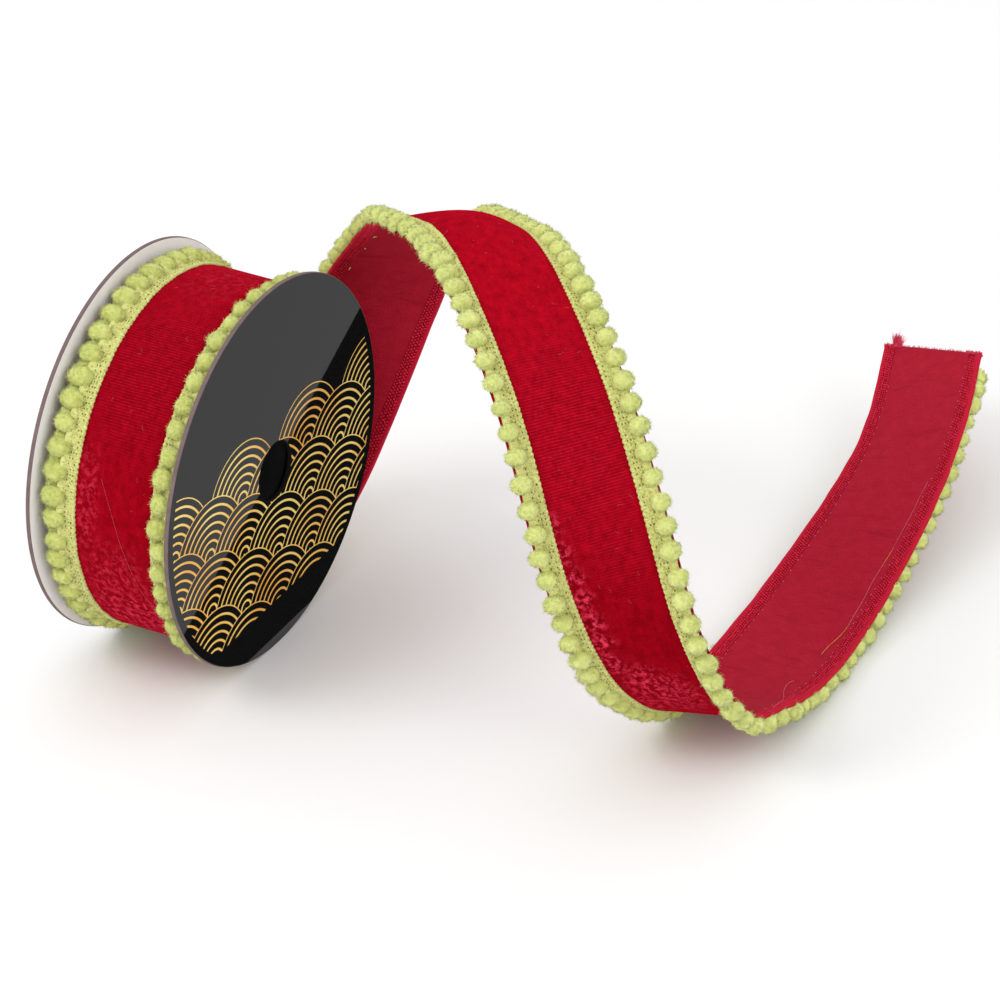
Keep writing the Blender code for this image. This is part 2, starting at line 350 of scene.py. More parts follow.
def soft_lamp(name, place, size, watts):
    lamp_data = bpy.data.lights.new(name, "AREA")
    lamp_data.size = size
    lamp_data.energy = watts
    lamp = bpy.data.objects.new(name, lamp_data)
    lamp.location = place
    lamp.rotation_euler = (Vector(LAMP_TARGET) - Vector(place)).to_track_quat("-Z", "Y").to_euler()
    bpy.context.collection.objects.link(lamp)


for lamp in LAMPS:
    soft_lamp(*lamp)
print("camera at", [round(c, 3) for c in camera.location])

# %% [markdown]
# ## Shared shader effects
# Several finishes here are made of the same two things: rows of yarn, and fine loose fibre. Each is
# a node group, built once and placed with its own values. The rows come from the cloth coordinates,
# so they follow the ribbon round every bend, and the fibre comes from the object's own space. A bump
# map alone would do for a far view, but what these groups put out shapes the colour as well.

# %% A small helper for node graphs
class Graph:
    """Adds and joins nodes of one tree with few words."""

    def __init__(self, tree):
        self.tree = tree

    def add(self, kind, **settings):
        node = self.tree.nodes.new(kind)
        for name, value in settings.items():
            setattr(node, name, value)
        return node

    def feed(self, socket, value):
        if isinstance(value, bpy.types.NodeSocket):
            self.tree.links.new(value, socket)
        else:
            socket.default_value = value

    def math(self, operation, *values):
        node = self.add("ShaderNodeMath", operation=operation)
        for socket, value in zip(node.inputs, values):
            self.feed(socket, value)
        return node.outputs[0]

    def times(self, first, second):
        return self.math("MULTIPLY", first, second)

    def plus(self, first, second):
        return self.math("ADD", first, second)

    def minus(self, first, second):
        return self.math("SUBTRACT", first, second)

    def ramp(self, value, low, high, to_low=0.0, to_high=1.0):
        node = self.add("ShaderNodeMapRange", clamp=True)
        for socket, given in zip(node.inputs, (value, low, high, to_low, to_high)):
            self.feed(socket, given)
        return node.outputs[0]

    def between(self, share, first, second):
        """A number that share takes from the first to the second."""
        node = self.add("ShaderNodeMix", data_type="FLOAT")
        for index, value in ((0, share), (2, first), (3, second)):
            self.feed(node.inputs[index], value)
        return node.outputs[0]

    def mix(self, share, first, second, blend_type="MIX"):
        """A colour that share takes from the first to the second; plain colours are (r, g, b)."""
        node = self.add("ShaderNodeMix", data_type="RGBA", blend_type=blend_type)
        self.feed(node.inputs[0], share)
        for index, colour in ((6, first), (7, second)):
            self.feed(node.inputs[index], (*colour, 1.0) if isinstance(colour, tuple) else colour)
        return node.outputs[2]

    def noise(self, vector, scale, detail=2.0, roughness=0.5):
        node = self.add("ShaderNodeTexNoise")
        given = {"Vector": vector, "Scale": scale, "Detail": detail, "Roughness": roughness}
        for name, value in given.items():
            self.feed(node.inputs[name], value)
        return node.outputs[0]

    def parts(self, vector):
        node = self.add("ShaderNodeSeparateXYZ")
        self.feed(node.inputs[0], vector)
        return node.outputs

    def length(self, across, up):
        return self.math("SQRT", self.plus(self.times(across, across), self.times(up, up)))

    def stretched(self, vector, scale):
        node = self.add("ShaderNodeMapping")
        node.inputs["Scale"].default_value = scale
        self.feed(node.inputs["Vector"], vector)
        return node.outputs[0]

    def bump(self, height, distance, strength=1.0):
        node = self.add("ShaderNodeBump")
        given = {"Strength": strength, "Distance": distance, "Height": height}
        for name, value in given.items():
            self.feed(node.inputs[name], value)
        return node.outputs[0]


# %% Start a node group
def shader_group(name, inputs, outputs):
    """A new group with (name, kind, default) inputs and (name, kind) outputs."""
    tree = bpy.data.node_groups.new(name, "ShaderNodeTree")
    for label, kind, default in inputs:
        socket = tree.interface.new_socket(name=label, in_out="INPUT", socket_type=kind)
        if default is not None:
            socket.default_value = default
    for label, kind in outputs:
        tree.interface.new_socket(name=label, in_out="OUTPUT", socket_type=kind)
    graph = Graph(tree)
    return tree, graph, graph.add("NodeGroupInput"), graph.add("NodeGroupOutput")


# %% Rows of yarn along or across the cloth
FLOAT, VECTOR = "NodeSocketFloat", "NodeSocketVector"
WANDER_SCALE = 60.0
yarn_rows, graph, given, result = shader_group(
    "yarn rows",
    (("Cloth", VECTOR, None), ("Pitch", FLOAT, 0.001), ("Along", FLOAT, 1.0), ("Unevenness", FLOAT, 0.2)),
    (("Height", FLOAT),),
)
parts = graph.parts(given.outputs["Cloth"])
place = graph.between(given.outputs["Along"], parts[1], parts[0])
turns = graph.math("DIVIDE", place, given.outputs["Pitch"])
wander = graph.times(graph.noise(given.outputs["Cloth"], WANDER_SCALE, 1.0), given.outputs["Unevenness"])
wave = graph.math("SINE", graph.times(graph.plus(turns, wander), 2.0 * math.pi))
graph.feed(result.inputs["Height"], graph.ramp(wave, -1.0, 1.0))
print("group", yarn_rows.name, len(yarn_rows.nodes), "nodes")

# %% Fine loose fibre
BROAD_SHARE = 0.12
loose_fibre, graph, given, result = shader_group(
    "loose fibre",
    (("Scale", FLOAT, 1500.0), ("Softness", FLOAT, 0.5)),
    (("Height", FLOAT), ("Tone", FLOAT)),
)
where = graph.add("ShaderNodeTexCoord").outputs["Object"]
fine = graph.noise(where, given.outputs["Scale"], 3.0, 0.65)
broad = graph.noise(where, graph.times(given.outputs["Scale"], BROAD_SHARE), 2.0)
graph.feed(result.inputs["Height"], fine)
graph.feed(result.inputs["Tone"], graph.ramp(graph.between(given.outputs["Softness"], fine, broad), 0.3, 0.7))
print("group", loose_fibre.name, len(loose_fibre.nodes), "nodes")


# %% Start a finish and place a group in it
def placed(graph, group, **values):
    node = graph.add("ShaderNodeGroup", node_tree=group)
    for name, value in values.items():
        graph.feed(node.inputs[name], value)
    return node.outputs


def finish_for(name):
    """A new material's graph and its surface shader."""
    material = bpy.data.materials.new(name)
    material.use_nodes = True
    return material, Graph(material.node_tree), material.node_tree.nodes["Principled BSDF"]


def set_evenly(surface, values):
    """Numbers and colours that are the same all over go on the shader's own sockets."""
    for name, value in values.items():
        surface.inputs[name].default_value = value


def cloth_place(graph):
    return graph.add("ShaderNodeUVMap", uv_map="cloth").outputs[0]


def stored(graph, name):
    return graph.add("ShaderNodeAttribute", attribute_name=name).outputs["Fac"]

# %% [markdown]
# ## Finishes of the cloth and yarn
# Velvet is a short upright pile: it looks dark and deep face on and lighter at a glancing angle, and
# where the pile is pressed flat it shines in pale flecks. The Principled shader's sheen gives the
# glancing light. A stored mask says where the pile is crushed, and there the colour holds a painted
# highlight in flecks with painted shade round them. A stored number paints lit and shaded pile along
# the ribbon, painted shade darkens it beside the tape, and fine rows show where the pile stands in
# weft lines, with painted shade and glint. The back of the ribbon is the plain ground cloth, smoother
# and duller.

# %% Red velvet: its pile and its weft rows
# each of these two goes from pile in painted shade to pile in painted light, and the stored painted light
# along the ribbon picks between them
DEEP_PILE = ((0.140, 0.0004, 0.0034), (0.215, 0.0008, 0.0056))
BRIGHT_PILE = ((0.400, 0.0018, 0.0100), (0.610, 0.0042, 0.0180))
PILE_SHARE, MOTTLE_SHARE = 0.74, 0.26
ROW_SHADE, ROW_SHADE_SHARE = (0.150, 0.0006, 0.0045), 0.28
ROW_GLINT, ROW_GLINT_SHARE = (0.66, 0.012, 0.042), 0.55
TAPE_SHADE, TAPE_SHADE_SHARE = (0.170, 0.0010, 0.0060), 0.45
TAPE_SHADE_FROM, TAPE_SHADE_TO = 0.0165, 0.0192

velvet, graph, surface = finish_for("red velvet")
cloth = cloth_place(graph)
rows = placed(graph, yarn_rows, Cloth=cloth, Pitch=0.00130, Along=1.0, Unevenness=0.8)
pile = placed(graph, loose_fibre, Scale=1900.0, Softness=0.40)
mottle = graph.noise(graph.stretched(cloth, (0.55, 1.0, 1.0)), 330.0, 4.0, 0.68)
mottle = graph.ramp(mottle, 0.36, 0.64)
tone = graph.plus(graph.times(pile["Tone"], PILE_SHARE), graph.times(mottle, MOTTLE_SHARE))
# painted light and shade of the pile, stored along the ribbon, picks the lit or the shaded copy of each
# colour
painted_pile_light = stored(graph, "painted_pile_light")
colour = graph.mix(tone, graph.mix(painted_pile_light, *DEEP_PILE), graph.mix(painted_pile_light, *BRIGHT_PILE))
weft_shows = stored(graph, "weft")
weft = graph.times(rows["Height"], weft_shows)
broken = graph.ramp(graph.noise(cloth, 480.0, 2.0, 0.6), 0.35, 0.62)
glint = graph.times(graph.math("POWER", weft, 2.0), broken)
colour = graph.mix(graph.times(graph.minus(weft_shows, weft), ROW_SHADE_SHARE), colour, ROW_SHADE)
colour = graph.mix(graph.times(glint, ROW_GLINT_SHARE), colour, ROW_GLINT)
from_middle = graph.math("ABSOLUTE", graph.parts(cloth)[1])
beside_tape = graph.ramp(from_middle, TAPE_SHADE_FROM, TAPE_SHADE_TO)
colour = graph.mix(graph.times(beside_tape, TAPE_SHADE_SHARE), colour, TAPE_SHADE)

# %% Red velvet: painted shine and shade of its crushed flecks, relief and sheen
# where the pile is crushed, its flecks get a painted highlight and the flattened pile round them painted
# shade
PAINTED_SHADE_OF_FLATTENED_PILE, FLATTENED_PAINTED_SHADE_SHARE = (0.120, 0.0005, 0.0032), 0.60
PAINTED_SHINE_OF_CRUSHED_PILE = (0.90, 0.050, 0.112)
PILE_RELIEF = 0.00050

flecks = graph.ramp(graph.noise(cloth, 330.0, 6.0, 0.72), 0.47, 0.61)
pressed = stored(graph, "crushed")
crushed = graph.times(pressed, flecks)
colour = graph.mix(graph.times(graph.minus(pressed, crushed), FLATTENED_PAINTED_SHADE_SHARE), colour, PAINTED_SHADE_OF_FLATTENED_PILE)
colour = graph.mix(crushed, colour, PAINTED_SHINE_OF_CRUSHED_PILE)
graph.feed(surface.inputs["Base Color"], colour)
relief = graph.plus(pile["Height"], graph.times(weft, 0.9))
relief = graph.plus(relief, graph.times(mottle, 0.3))
graph.feed(surface.inputs["Normal"], graph.bump(relief, PILE_RELIEF, 0.9))
set_evenly(surface, {
    "Roughness": 0.85,
    "Specular IOR Level": 0.0,
    "Sheen Weight": 0.36,
    "Sheen Roughness": 0.40,
    "Sheen Tint": (1.0, 0.02, 0.06, 1.0),
})
print(velvet.name, len(velvet.node_tree.nodes), "nodes")

# %% Plain back of the ribbon, and its stitched hem
# how far from the middle the hem begins, and the bead of thread at its very edge
HEM_FROM = 0.0213
BEAD_FROM = 0.0264
BACK_DARK, BACK_LIGHT = (0.315, 0.0062, 0.0190), (0.490, 0.0150, 0.0385)
THREAD_LINES = (0.270, 0.0046, 0.0180)
CREASE_SHADE = (0.240, 0.0040, 0.0165)
HEM_SHADE = (0.265, 0.0038, 0.0150)
BEAD_RED = (0.540, 0.0120, 0.0380)
BACK_RELIEF = 0.00010

ribbon_back, graph, surface = finish_for("ribbon back")
cloth = cloth_place(graph)
rows = placed(graph, yarn_rows, Cloth=cloth, Pitch=0.00080, Along=1.0, Unevenness=0.5)
ends = placed(graph, yarn_rows, Cloth=cloth, Pitch=0.00065, Along=0.0, Unevenness=0.3)
fuzz = placed(graph, loose_fibre, Scale=1500.0, Softness=0.25)
crosswise = graph.stretched(cloth, (1.0, 0.16, 1.0))
creases = graph.ramp(graph.noise(crosswise, 190.0, 2.0, 0.6), 0.58, 0.68)
lines = graph.ramp(graph.noise(crosswise, 900.0, 3.0, 0.7), 0.40, 0.62)
from_middle = graph.math("ABSOLUTE", graph.parts(cloth)[1])
hem = graph.ramp(from_middle, HEM_FROM - 0.0001, HEM_FROM + 0.0002)
bead = graph.ramp(from_middle, BEAD_FROM - 0.0002, BEAD_FROM + 0.0001)
colour = graph.mix(fuzz["Tone"], BACK_DARK, BACK_LIGHT)
for mask, share, tint in (
    (lines, 0.22, THREAD_LINES),
    (creases, 0.30, CREASE_SHADE),
    (hem, 0.90, HEM_SHADE),
    (bead, 0.95, BEAD_RED),
):
    colour = graph.mix(graph.times(mask, share), colour, tint)
graph.feed(surface.inputs["Base Color"], colour)
relief = graph.minus(graph.plus(rows["Height"], ends["Height"]), graph.times(creases, 1.5))
graph.feed(surface.inputs["Normal"], graph.bump(relief, BACK_RELIEF, 0.6))
set_evenly(surface, {
    "Roughness": 0.75,
    "Specular IOR Level": 0.04,
    "Sheen Weight": 0.06,
    "Sheen Tint": (1.0, 0.15, 0.20, 1.0),
})
print(ribbon_back.name, len(ribbon_back.node_tree.nodes), "nodes")

# %% Lime yarn: the woven tape and the cut pompoms
KNOT_SHADE = (0.30, 0.27, 0.050)
WOVEN_TINT = 0.92
TINT_DARK, TINT_FULL = (0.60, 0.62, 0.40), (1.0, 1.0, 1.0)


def lime_finish(name, dark, light, weave_share, fibre_scale, relief_depth):
    """Lime yarn whose stored tint dims it, and on the pompoms that tint holds painted shade and light;
    weave_share is how much of its tone is woven.
    """
    material, graph, surface = finish_for(name)
    cloth = cloth_place(graph)
    picks = placed(graph, yarn_rows, Cloth=cloth, Pitch=0.00120, Along=1.0, Unevenness=0.9)
    ends = placed(graph, yarn_rows, Cloth=cloth, Pitch=0.00075, Along=0.0, Unevenness=0.8)
    fuzz = placed(graph, loose_fibre, Scale=fibre_scale, Softness=0.3)
    woven = graph.times(graph.times(picks["Height"], ends["Height"]), weave_share)
    tone = graph.plus(woven, graph.times(fuzz["Tone"], 1.0 - weave_share))
    colour = graph.mix(tone, dark, light)
    tint = stored(graph, "tint")
    knots = graph.ramp(graph.noise(cloth, 850.0, 2.0, 0.6), 0.50, 0.58)
    in_weave = graph.times(graph.math("LESS_THAN", tint, WOVEN_TINT), weave_share)
    colour = graph.mix(graph.times(knots, in_weave), colour, KNOT_SHADE)
    colour = graph.mix(1.0, colour, graph.mix(tint, TINT_DARK, TINT_FULL), blend_type="MULTIPLY")
    graph.feed(surface.inputs["Base Color"], colour)
    relief = graph.plus(woven, graph.times(fuzz["Height"], 0.8))
    graph.feed(surface.inputs["Normal"], graph.bump(relief, relief_depth, 0.9))
    set_evenly(surface, {
        "Roughness": 0.9,
        "Specular IOR Level": 0.05,
        "Sheen Weight": 0.30,
        "Sheen Tint": (0.97, 1.0, 0.60, 1.0),
    })
    print(name, len(material.node_tree.nodes), "nodes")
    return material


lime_tape = lime_finish("lime tape", (0.60, 0.60, 0.150), (0.99, 1.0, 0.48), 0.45, 1900.0, 0.00045)
lime_pile = lime_finish("lime pompom pile", (0.74, 0.81, 0.200), (0.96, 1.0, 0.48), 0.0, 2200.0, 0.00025)


# %% Dull finishes that only grain breaks up
def grained(name, dark, light, scale, roughness, softness=0.5, relief=0.00005, gloss=0.5):
    """A finish between two colours by loose fibre, with its fibre as a fine relief."""
    material, graph, surface = finish_for(name)
    grain = placed(graph, loose_fibre, Scale=scale, Softness=softness)
    graph.feed(surface.inputs["Base Color"], graph.mix(grain["Tone"], dark, light))
    graph.feed(surface.inputs["Normal"], graph.bump(grain["Height"], relief))
    set_evenly(surface, {"Roughness": roughness, "Specular IOR Level": gloss})
    return material


# the tape's gaps get painted shade, a dark olive
tape_gap = grained("shade in the tape's gaps", (0.110, 0.075, 0.010), (0.230, 0.190, 0.035), 1200.0, 0.95)
# the inside of the hub is painted near black as the shade deep in the hole
hub_shade = grained("painted shade inside the hub", (0.003, 0.003, 0.003), (0.008, 0.007, 0.007), 500.0, 0.95)
print("grained finishes:", tape_gap.name, "and", hub_shade.name)

# %% [markdown]
# ## The velvet ribbon
# One length of cloth serves the outermost turn and the loose end. It is a closed thin sheet: the
# velvet faces outwards, the plain ground cloth is its other side, and both edges are overlocked into
# a rounded rim. A grid of points over the cloth coordinates gives all of this, and offsets out of
# the surface add what the flat strip lacks: the ripple of the edges over the pompoms of the turn
# beneath, slight waves on the loose end, and a crown where it bends over its crest.

# %% Cloth sizes and surface offsets
RIBBON_HALF = 0.0283
CLOTH_HALF_THICKNESS = 0.0006
TAIL_LENGTH = 0.8664
CUT_SKEW = 0.0127
ROLL_START = -0.525
POMPOM_PITCH = 0.01045
BACK_EDGE_OFFSET = 0.925
RIPPLE_FROM = 0.014
RIPPLE_START = 0.03
RIPPLE_HEIGHT = 0.00035
SWELL_HEIGHT = 0.00030
EDGE_WAVE_HEIGHT = 0.00035
BODY_WAVE_HEIGHT = 0.00012
CREST_PLACE = 0.275
CREST_REACH = 0.045
CREST_RISE = 0.0064
CREST_DROOP = 0.0122


def smooth_step(value, low, high):
    share = np.clip((value - low) / (high - low), 0.0, 1.0)
    return share * share * (3.0 - 2.0 * share)


def waves(distance, across, periods, seed):
    """A gentle uneven swell, from -1 to 1, over the cloth coordinates."""
    local = np.random.default_rng(seed)
    total = 0.0
    for period in periods:
        phase, slant = local.uniform(0.0, 2.0 * math.pi), local.uniform(-0.8, 0.8)
        total = total + np.sin(2.0 * math.pi * (distance + slant * across) / period + phase)
    return total / len(periods)


def surface_offset(distance, across):
    """How far the cloth's middle stands out of the plain strip."""
    edge = smooth_step(np.abs(across), RIPPLE_FROM, RIBBON_HALF)
    lies = smooth_step(-distance, 0.0, RIPPLE_START)
    side_phase = np.where(across > 0.0, 0.0, BACK_EDGE_OFFSET)
    ripple = np.cos(2.0 * math.pi * (distance / POMPOM_PITCH - side_phase + 0.5))
    swell = waves(distance, across, (0.021, 0.034), 3)
    on_roll = lies * edge * (RIPPLE_HEIGHT * ripple + SWELL_HEIGHT * swell)
    on_tail = (1.0 - lies) * EDGE_WAVE_HEIGHT * edge * waves(distance, across, (0.026, 0.041, 0.067), 5)
    body = BODY_WAVE_HEIGHT * waves(distance, across, (0.019, 0.031), 9)
    crown = np.exp(-(((distance - CREST_PLACE) / CREST_REACH) ** 2))
    crown = crown * (CREST_RISE - CREST_DROOP * (across / RIBBON_HALF) ** 2)
    return on_roll + on_tail + body + crown


print("cloth", 2.0 * RIBBON_HALF, "by", round(TAIL_LENGTH - ROLL_START, 4), "m")

# %% Where the pile is crushed, where its weft rows show, and where light and shade are painted on it
# places where the pile is crushed: the velvet paints highlight flecks and shade there
CRUSHED = (
    # distance, across, reach along and reach across in metres, and strength
    (0.437, -0.0180, 0.0052, 0.0032, 0.9),
    (0.450, -0.0172, 0.0052, 0.0042, 1.0),
    (0.4615, -0.0162, 0.0052, 0.0050, 1.0),
    (0.4725, -0.0158, 0.0052, 0.0054, 1.0),
    (0.4835, -0.0150, 0.0054, 0.0056, 1.0),
    (0.495, -0.0145, 0.0054, 0.0056, 1.0),
    (0.508, -0.0150, 0.0070, 0.0052, 0.9),
    (0.524, -0.0060, 0.0140, 0.0100, 0.75),
    (0.535, 0.0030, 0.0170, 0.0120, 0.75),
    (0.545, -0.0130, 0.0160, 0.0060, 0.60),
    (-0.112, 0.0020, 0.0280, 0.0240, 0.72),
    (-0.140, -0.0010, 0.0220, 0.0180, 0.38),
    (-0.178, -0.0140, 0.0240, 0.0060, 0.45),
    (-0.315, 0.0000, 0.0300, 0.0180, 0.20),
)
WEFT_SHOWS = (
    # the same five numbers
    (0.405, 0.000, 0.050, 0.030, 1.0),
    (0.450, 0.006, 0.030, 0.016, 0.7),
    (-0.245, 0.002, 0.045, 0.030, 0.9),
    (0.150, 0.000, 0.060, 0.030, 0.5),
    (0.760, 0.000, 0.090, 0.030, 0.6),
)
LEAST_WEFT = 0.15
PAINTED_PILE_LIGHT_ALONG = (
    # distance, and how much painted light the pile gets there, from painted shade at 0 to painted light at 1
    (-0.52, 0.60),
    (-0.36, 0.60),
    (-0.25, 0.35),
    (-0.12, 0.25),
    (0.0, 0.40),
    (0.20, 0.55),
    (0.27, 0.70),
    (0.31, 1.0),
    (0.43, 1.0),
    (0.475, 0.25),
    (0.51, 0.05),
    (0.54, 0.25),
    (0.60, 0.50),
)


def patches(table, distance, across):
    """The strongest of a table's soft-edged ovals at each place."""
    share = np.zeros(np.broadcast_shapes(np.shape(distance), np.shape(across)))
    for centre, side, long, wide, strength in table:
        reach = ((distance - centre) / long) ** 2 + ((across - side) / wide) ** 2
        share = np.maximum(share, strength * np.exp(-reach * reach))
    return share


def store(obj, name, values):
    """Keeps one number for each point of a mesh, for its material to read."""
    layer = obj.data.attributes.new(name, "FLOAT", "POINT")
    layer.data.foreach_set("value", np.asarray(values, dtype=np.float32).reshape(-1))


print(len(CRUSHED), "crushed places and", len(WEFT_SHOWS), "with weft rows")

# %% The ribbon's section and its slanting cut
RIBBON_COLUMNS = 31
EDGE_CROWDING = 1.6
ROLLED_FROM, ROLLED_TO = 0.0260, 0.0272
TIP_FROM = 0.0276
# what the rolled edge adds over and under the cloth, and what it loses again at its very tip
ROLLED_OVER, ROLLED_UNDER = 0.0002, 0.0007
TIP_OVER, TIP_UNDER = 0.0004, 0.0006
FACES_INSET, RIM_OUT = 0.0002, 0.0003
SKEWED_FROM = 0.9


def ribbon_profile():
    """Across places and signed half thicknesses: over the velvet, round, and back below."""
    columns = np.linspace(-1.0, 1.0, RIBBON_COLUMNS)
    columns = np.sign(columns) * (1.0 - (1.0 - np.abs(columns)) ** EDGE_CROWDING)
    across = columns * (RIBBON_HALF - FACES_INSET)
    rolled = smooth_step(np.abs(across), ROLLED_FROM, ROLLED_TO)
    tip = smooth_step(np.abs(across), TIP_FROM, RIBBON_HALF)
    front = CLOTH_HALF_THICKNESS + rolled * ROLLED_OVER - tip * TIP_OVER
    back = CLOTH_HALF_THICKNESS + rolled * ROLLED_UNDER - tip * TIP_UNDER
    over = np.concatenate((across, [RIBBON_HALF + RIM_OUT], across[::-1], [-RIBBON_HALF - RIM_OUT]))
    half = np.concatenate((front, [0.0], -back[::-1], [0.0]))
    return over, half


def skewed(share, across):
    """Distances along the ribbon that end on the slanting cut."""
    skew = CUT_SKEW * smooth_step(share, SKEWED_FROM, 1.0) * across / RIBBON_HALF
    return ROLL_START + share * (TAIL_LENGTH - ROLL_START) - skew


print(len(ribbon_profile()[0]), "places round the ribbon's section")

# %% Build the ribbon
RIBBON_ROWS = 640


def build_ribbon():
    """The whole visible cloth as a closed sheet, with the places of its pile stored on it."""
    over, half = ribbon_profile()
    distance = skewed(np.linspace(0.0, 1.0, RIBBON_ROWS)[:, None], over[None, :])
    across = np.broadcast_to(over, distance.shape)
    points = ribbon_points(distance, across, half + surface_offset(distance, across))
    count = len(over)
    tip = count - 1
    quads = grid_faces(RIBBON_ROWS, count, closed=True)
    below = (np.arange(count) >= RIBBON_COLUMNS) & (np.arange(count) < tip)
    low = np.arange(RIBBON_COLUMNS - 1)
    start = np.stack((low, low + 1, count - 3 - low, count - 2 - low), axis=1)
    corner = np.array(((RIBBON_COLUMNS - 1, RIBBON_COLUMNS, RIBBON_COLUMNS + 1), (tip, 0, tip - 1)))
    last = (RIBBON_ROWS - 1) * count
    caps = [start, start[:, ::-1] + last, corner, corner[:, ::-1] + last]
    sides = np.concatenate((np.tile(below, RIBBON_ROWS - 1), np.ones(sum(len(faces) for faces in caps))))
    cloth = np.stack((distance.reshape(-1), across.reshape(-1)), axis=1)
    obj = array_mesh("velvet_ribbon", points, [quads, *caps], cloth, (velvet, ribbon_back), sides)
    store(obj, "crushed", patches(CRUSHED, distance, across))
    weft_rows = patches(WEFT_SHOWS, distance, across)
    store(obj, "weft", LEAST_WEFT + (1.0 - LEAST_WEFT) * weft_rows)
    # painted light and shade of the pile along the ribbon
    store(obj, "painted_pile_light", np.interp(distance, *zip(*PAINTED_PILE_LIGHT_ALONG)))
    return obj


ribbon = build_ribbon()
print("ribbon faces", len(ribbon.data.polygons))

# %% [markdown]
# ## The turns beneath
# Under the outermost turn lie nearly twenty more. Only their edges show, between the card discs, as
# a stack of ridges in lime and red. A thick ring with a ridge for each turn gives that, and its
# outside is the same spiral as the ribbon's, a little smaller.

# %% Build the wound turns
BORE_RADIUS = 0.0155
WOUND_FRONT_X = -0.0042
WOUND_BACK_X = -0.0598
UNDER_RIBBON = 0.0016
WOUND_SEGMENTS = 128
RIDGE_HEIGHT = 0.0007
RIDGE_ROUND = 0.08
BORE_PAINTED_SHADE_SHARE = 0.12

wound_edge, graph, surface = finish_for("edges of the wound turns")
cloth = cloth_place(graph)
ridges = placed(graph, yarn_rows, Cloth=cloth, Pitch=TURN_THICKNESS, Along=1.0, Unevenness=0.05)
fuzz = placed(graph, loose_fibre, Scale=900.0, Softness=0.4)
colour = graph.mix(fuzz["Tone"], (0.36, 0.42, 0.07), (0.60, 0.68, 0.15))
colour = graph.mix(graph.ramp(ridges["Height"], 0.75, 0.35), colour, (0.25, 0.004, 0.014))
graph.feed(surface.inputs["Base Color"], colour)
graph.feed(surface.inputs["Normal"], graph.bump(fuzz["Height"], 0.0005))
set_evenly(surface, {"Roughness": 0.9})


def build_wound_turns():
    """A ring with a ridge for each turn on both ends, and an outside that follows the spiral."""
    turns = int((DEPARTURE_RADIUS - BORE_RADIUS) / TURN_THICKNESS)
    share = np.linspace(0.0, 1.0, 2 * turns + 1)
    valley = RIDGE_HEIGHT * (1 - np.arange(len(share)) % 2)
    turned = (np.arange(WOUND_SEGMENTS) + 0.5) / WOUND_SEGMENTS
    angle = (DEPARTURE_ANGLE + 2.0 * math.pi * turned)[:, None]
    outer = DEPARTURE_RADIUS - UNDER_RIBBON - TURN_THICKNESS * (1.0 - turned)[:, None]
    shares = np.concatenate((share, share[::-1]))
    radius = BORE_RADIUS + (outer - BORE_RADIUS) * shares
    x = np.concatenate((WOUND_FRONT_X - valley, (WOUND_BACK_X + valley)[::-1]))
    x = np.broadcast_to(x, radius.shape)
    points = np.stack((x, radius * np.cos(angle), AXIS_Z + radius * np.sin(angle)), axis=-1)
    points = points.reshape(-1, 3) + SPOOL_POINT
    cloth = np.stack((radius, np.broadcast_to(angle * RIDGE_ROUND, radius.shape)), axis=-1).reshape(-1, 2)
    faces = turned_faces(WOUND_SEGMENTS, len(shares))
    # faces next to the bore get the hub's painted shade
    bore = np.tile(np.maximum(shares, np.roll(shares, -1)) < BORE_PAINTED_SHADE_SHARE, WOUND_SEGMENTS)
    return array_mesh("wound_turns", points, [faces], cloth, (wound_edge, hub_shade), bore)


wound_turns = build_wound_turns()
print("wound turns", len(wound_turns.data.polygons), "faces")

# %% [markdown]
# ## The woven tape
# The pompoms hang on a narrow tape of looped yarn, sewn flat on the velvet along each edge. It has a
# row of small loops at its inner edge, three rows of little gaps, and a smooth bundle of yarn that
# runs from pompom to pompom. Modelling each yarn would take millions of faces, so the tape is one
# closed strip: its sections follow the yarn's rise and fall, and the gaps are sunken cells painted
# dark olive as the shade in them.

# %% The tape's section and its repeat
TAPE_PERIOD = 0.0024
TAPE_ROWS = (0.0, 0.00040, 0.00120, 0.00160, 0.00200)
GAP_ROW = 1
TAPE_COLUMNS = (
    # across from the ribbon's middle and height over it, mm, and whether a gap column starts here
    (19.0, 0.45, 0),
    (19.3, 1.20, 0),
    (20.0, 1.40, 0),
    (20.45, 1.20, 1),
    (21.05, 1.20, 0),
    (21.45, 1.40, 0),
    (21.85, 1.20, 1),
    (22.45, 1.20, 0),
    (22.85, 1.40, 0),
    (23.25, 1.20, 1),
    (23.85, 1.20, 0),
    (24.4, 1.45, 0),
    (25.1, 2.00, 0),
    (25.9, 2.60, 0),
    (26.8, 2.60, 0),
    (27.5, 1.90, 0),
    (27.7, 0.45, 0),
)
print(len(TAPE_COLUMNS), "places across and", len(TAPE_ROWS), "rows to each", TAPE_PERIOD, "m")

# %% Build one tape
WOVEN = slice(1, 12)
LOOP_REACH = 0.00045
LOOP_SHARES = (1.0, 1.0, 0.4)
TAPE_WANDER = 0.00015
PICK_HEIGHT = 0.00014
BUNDLE_FROM = 25.0
BUNDLE_TINT, WEAVE_TINT, TINT_SCATTER = 0.95, 0.78, 0.14
# how unevenly the yarn lies: up and down in the weave and in the bundle, across, and along the tape
WEAVE_UNEVEN, BUNDLE_UNEVEN, ACROSS_UNEVEN, ALONG_UNEVEN = 0.00010, 0.00006, 0.00008, 0.00006
OPEN_GAPS, OPEN_GAPS_SWING = 0.55, 0.45


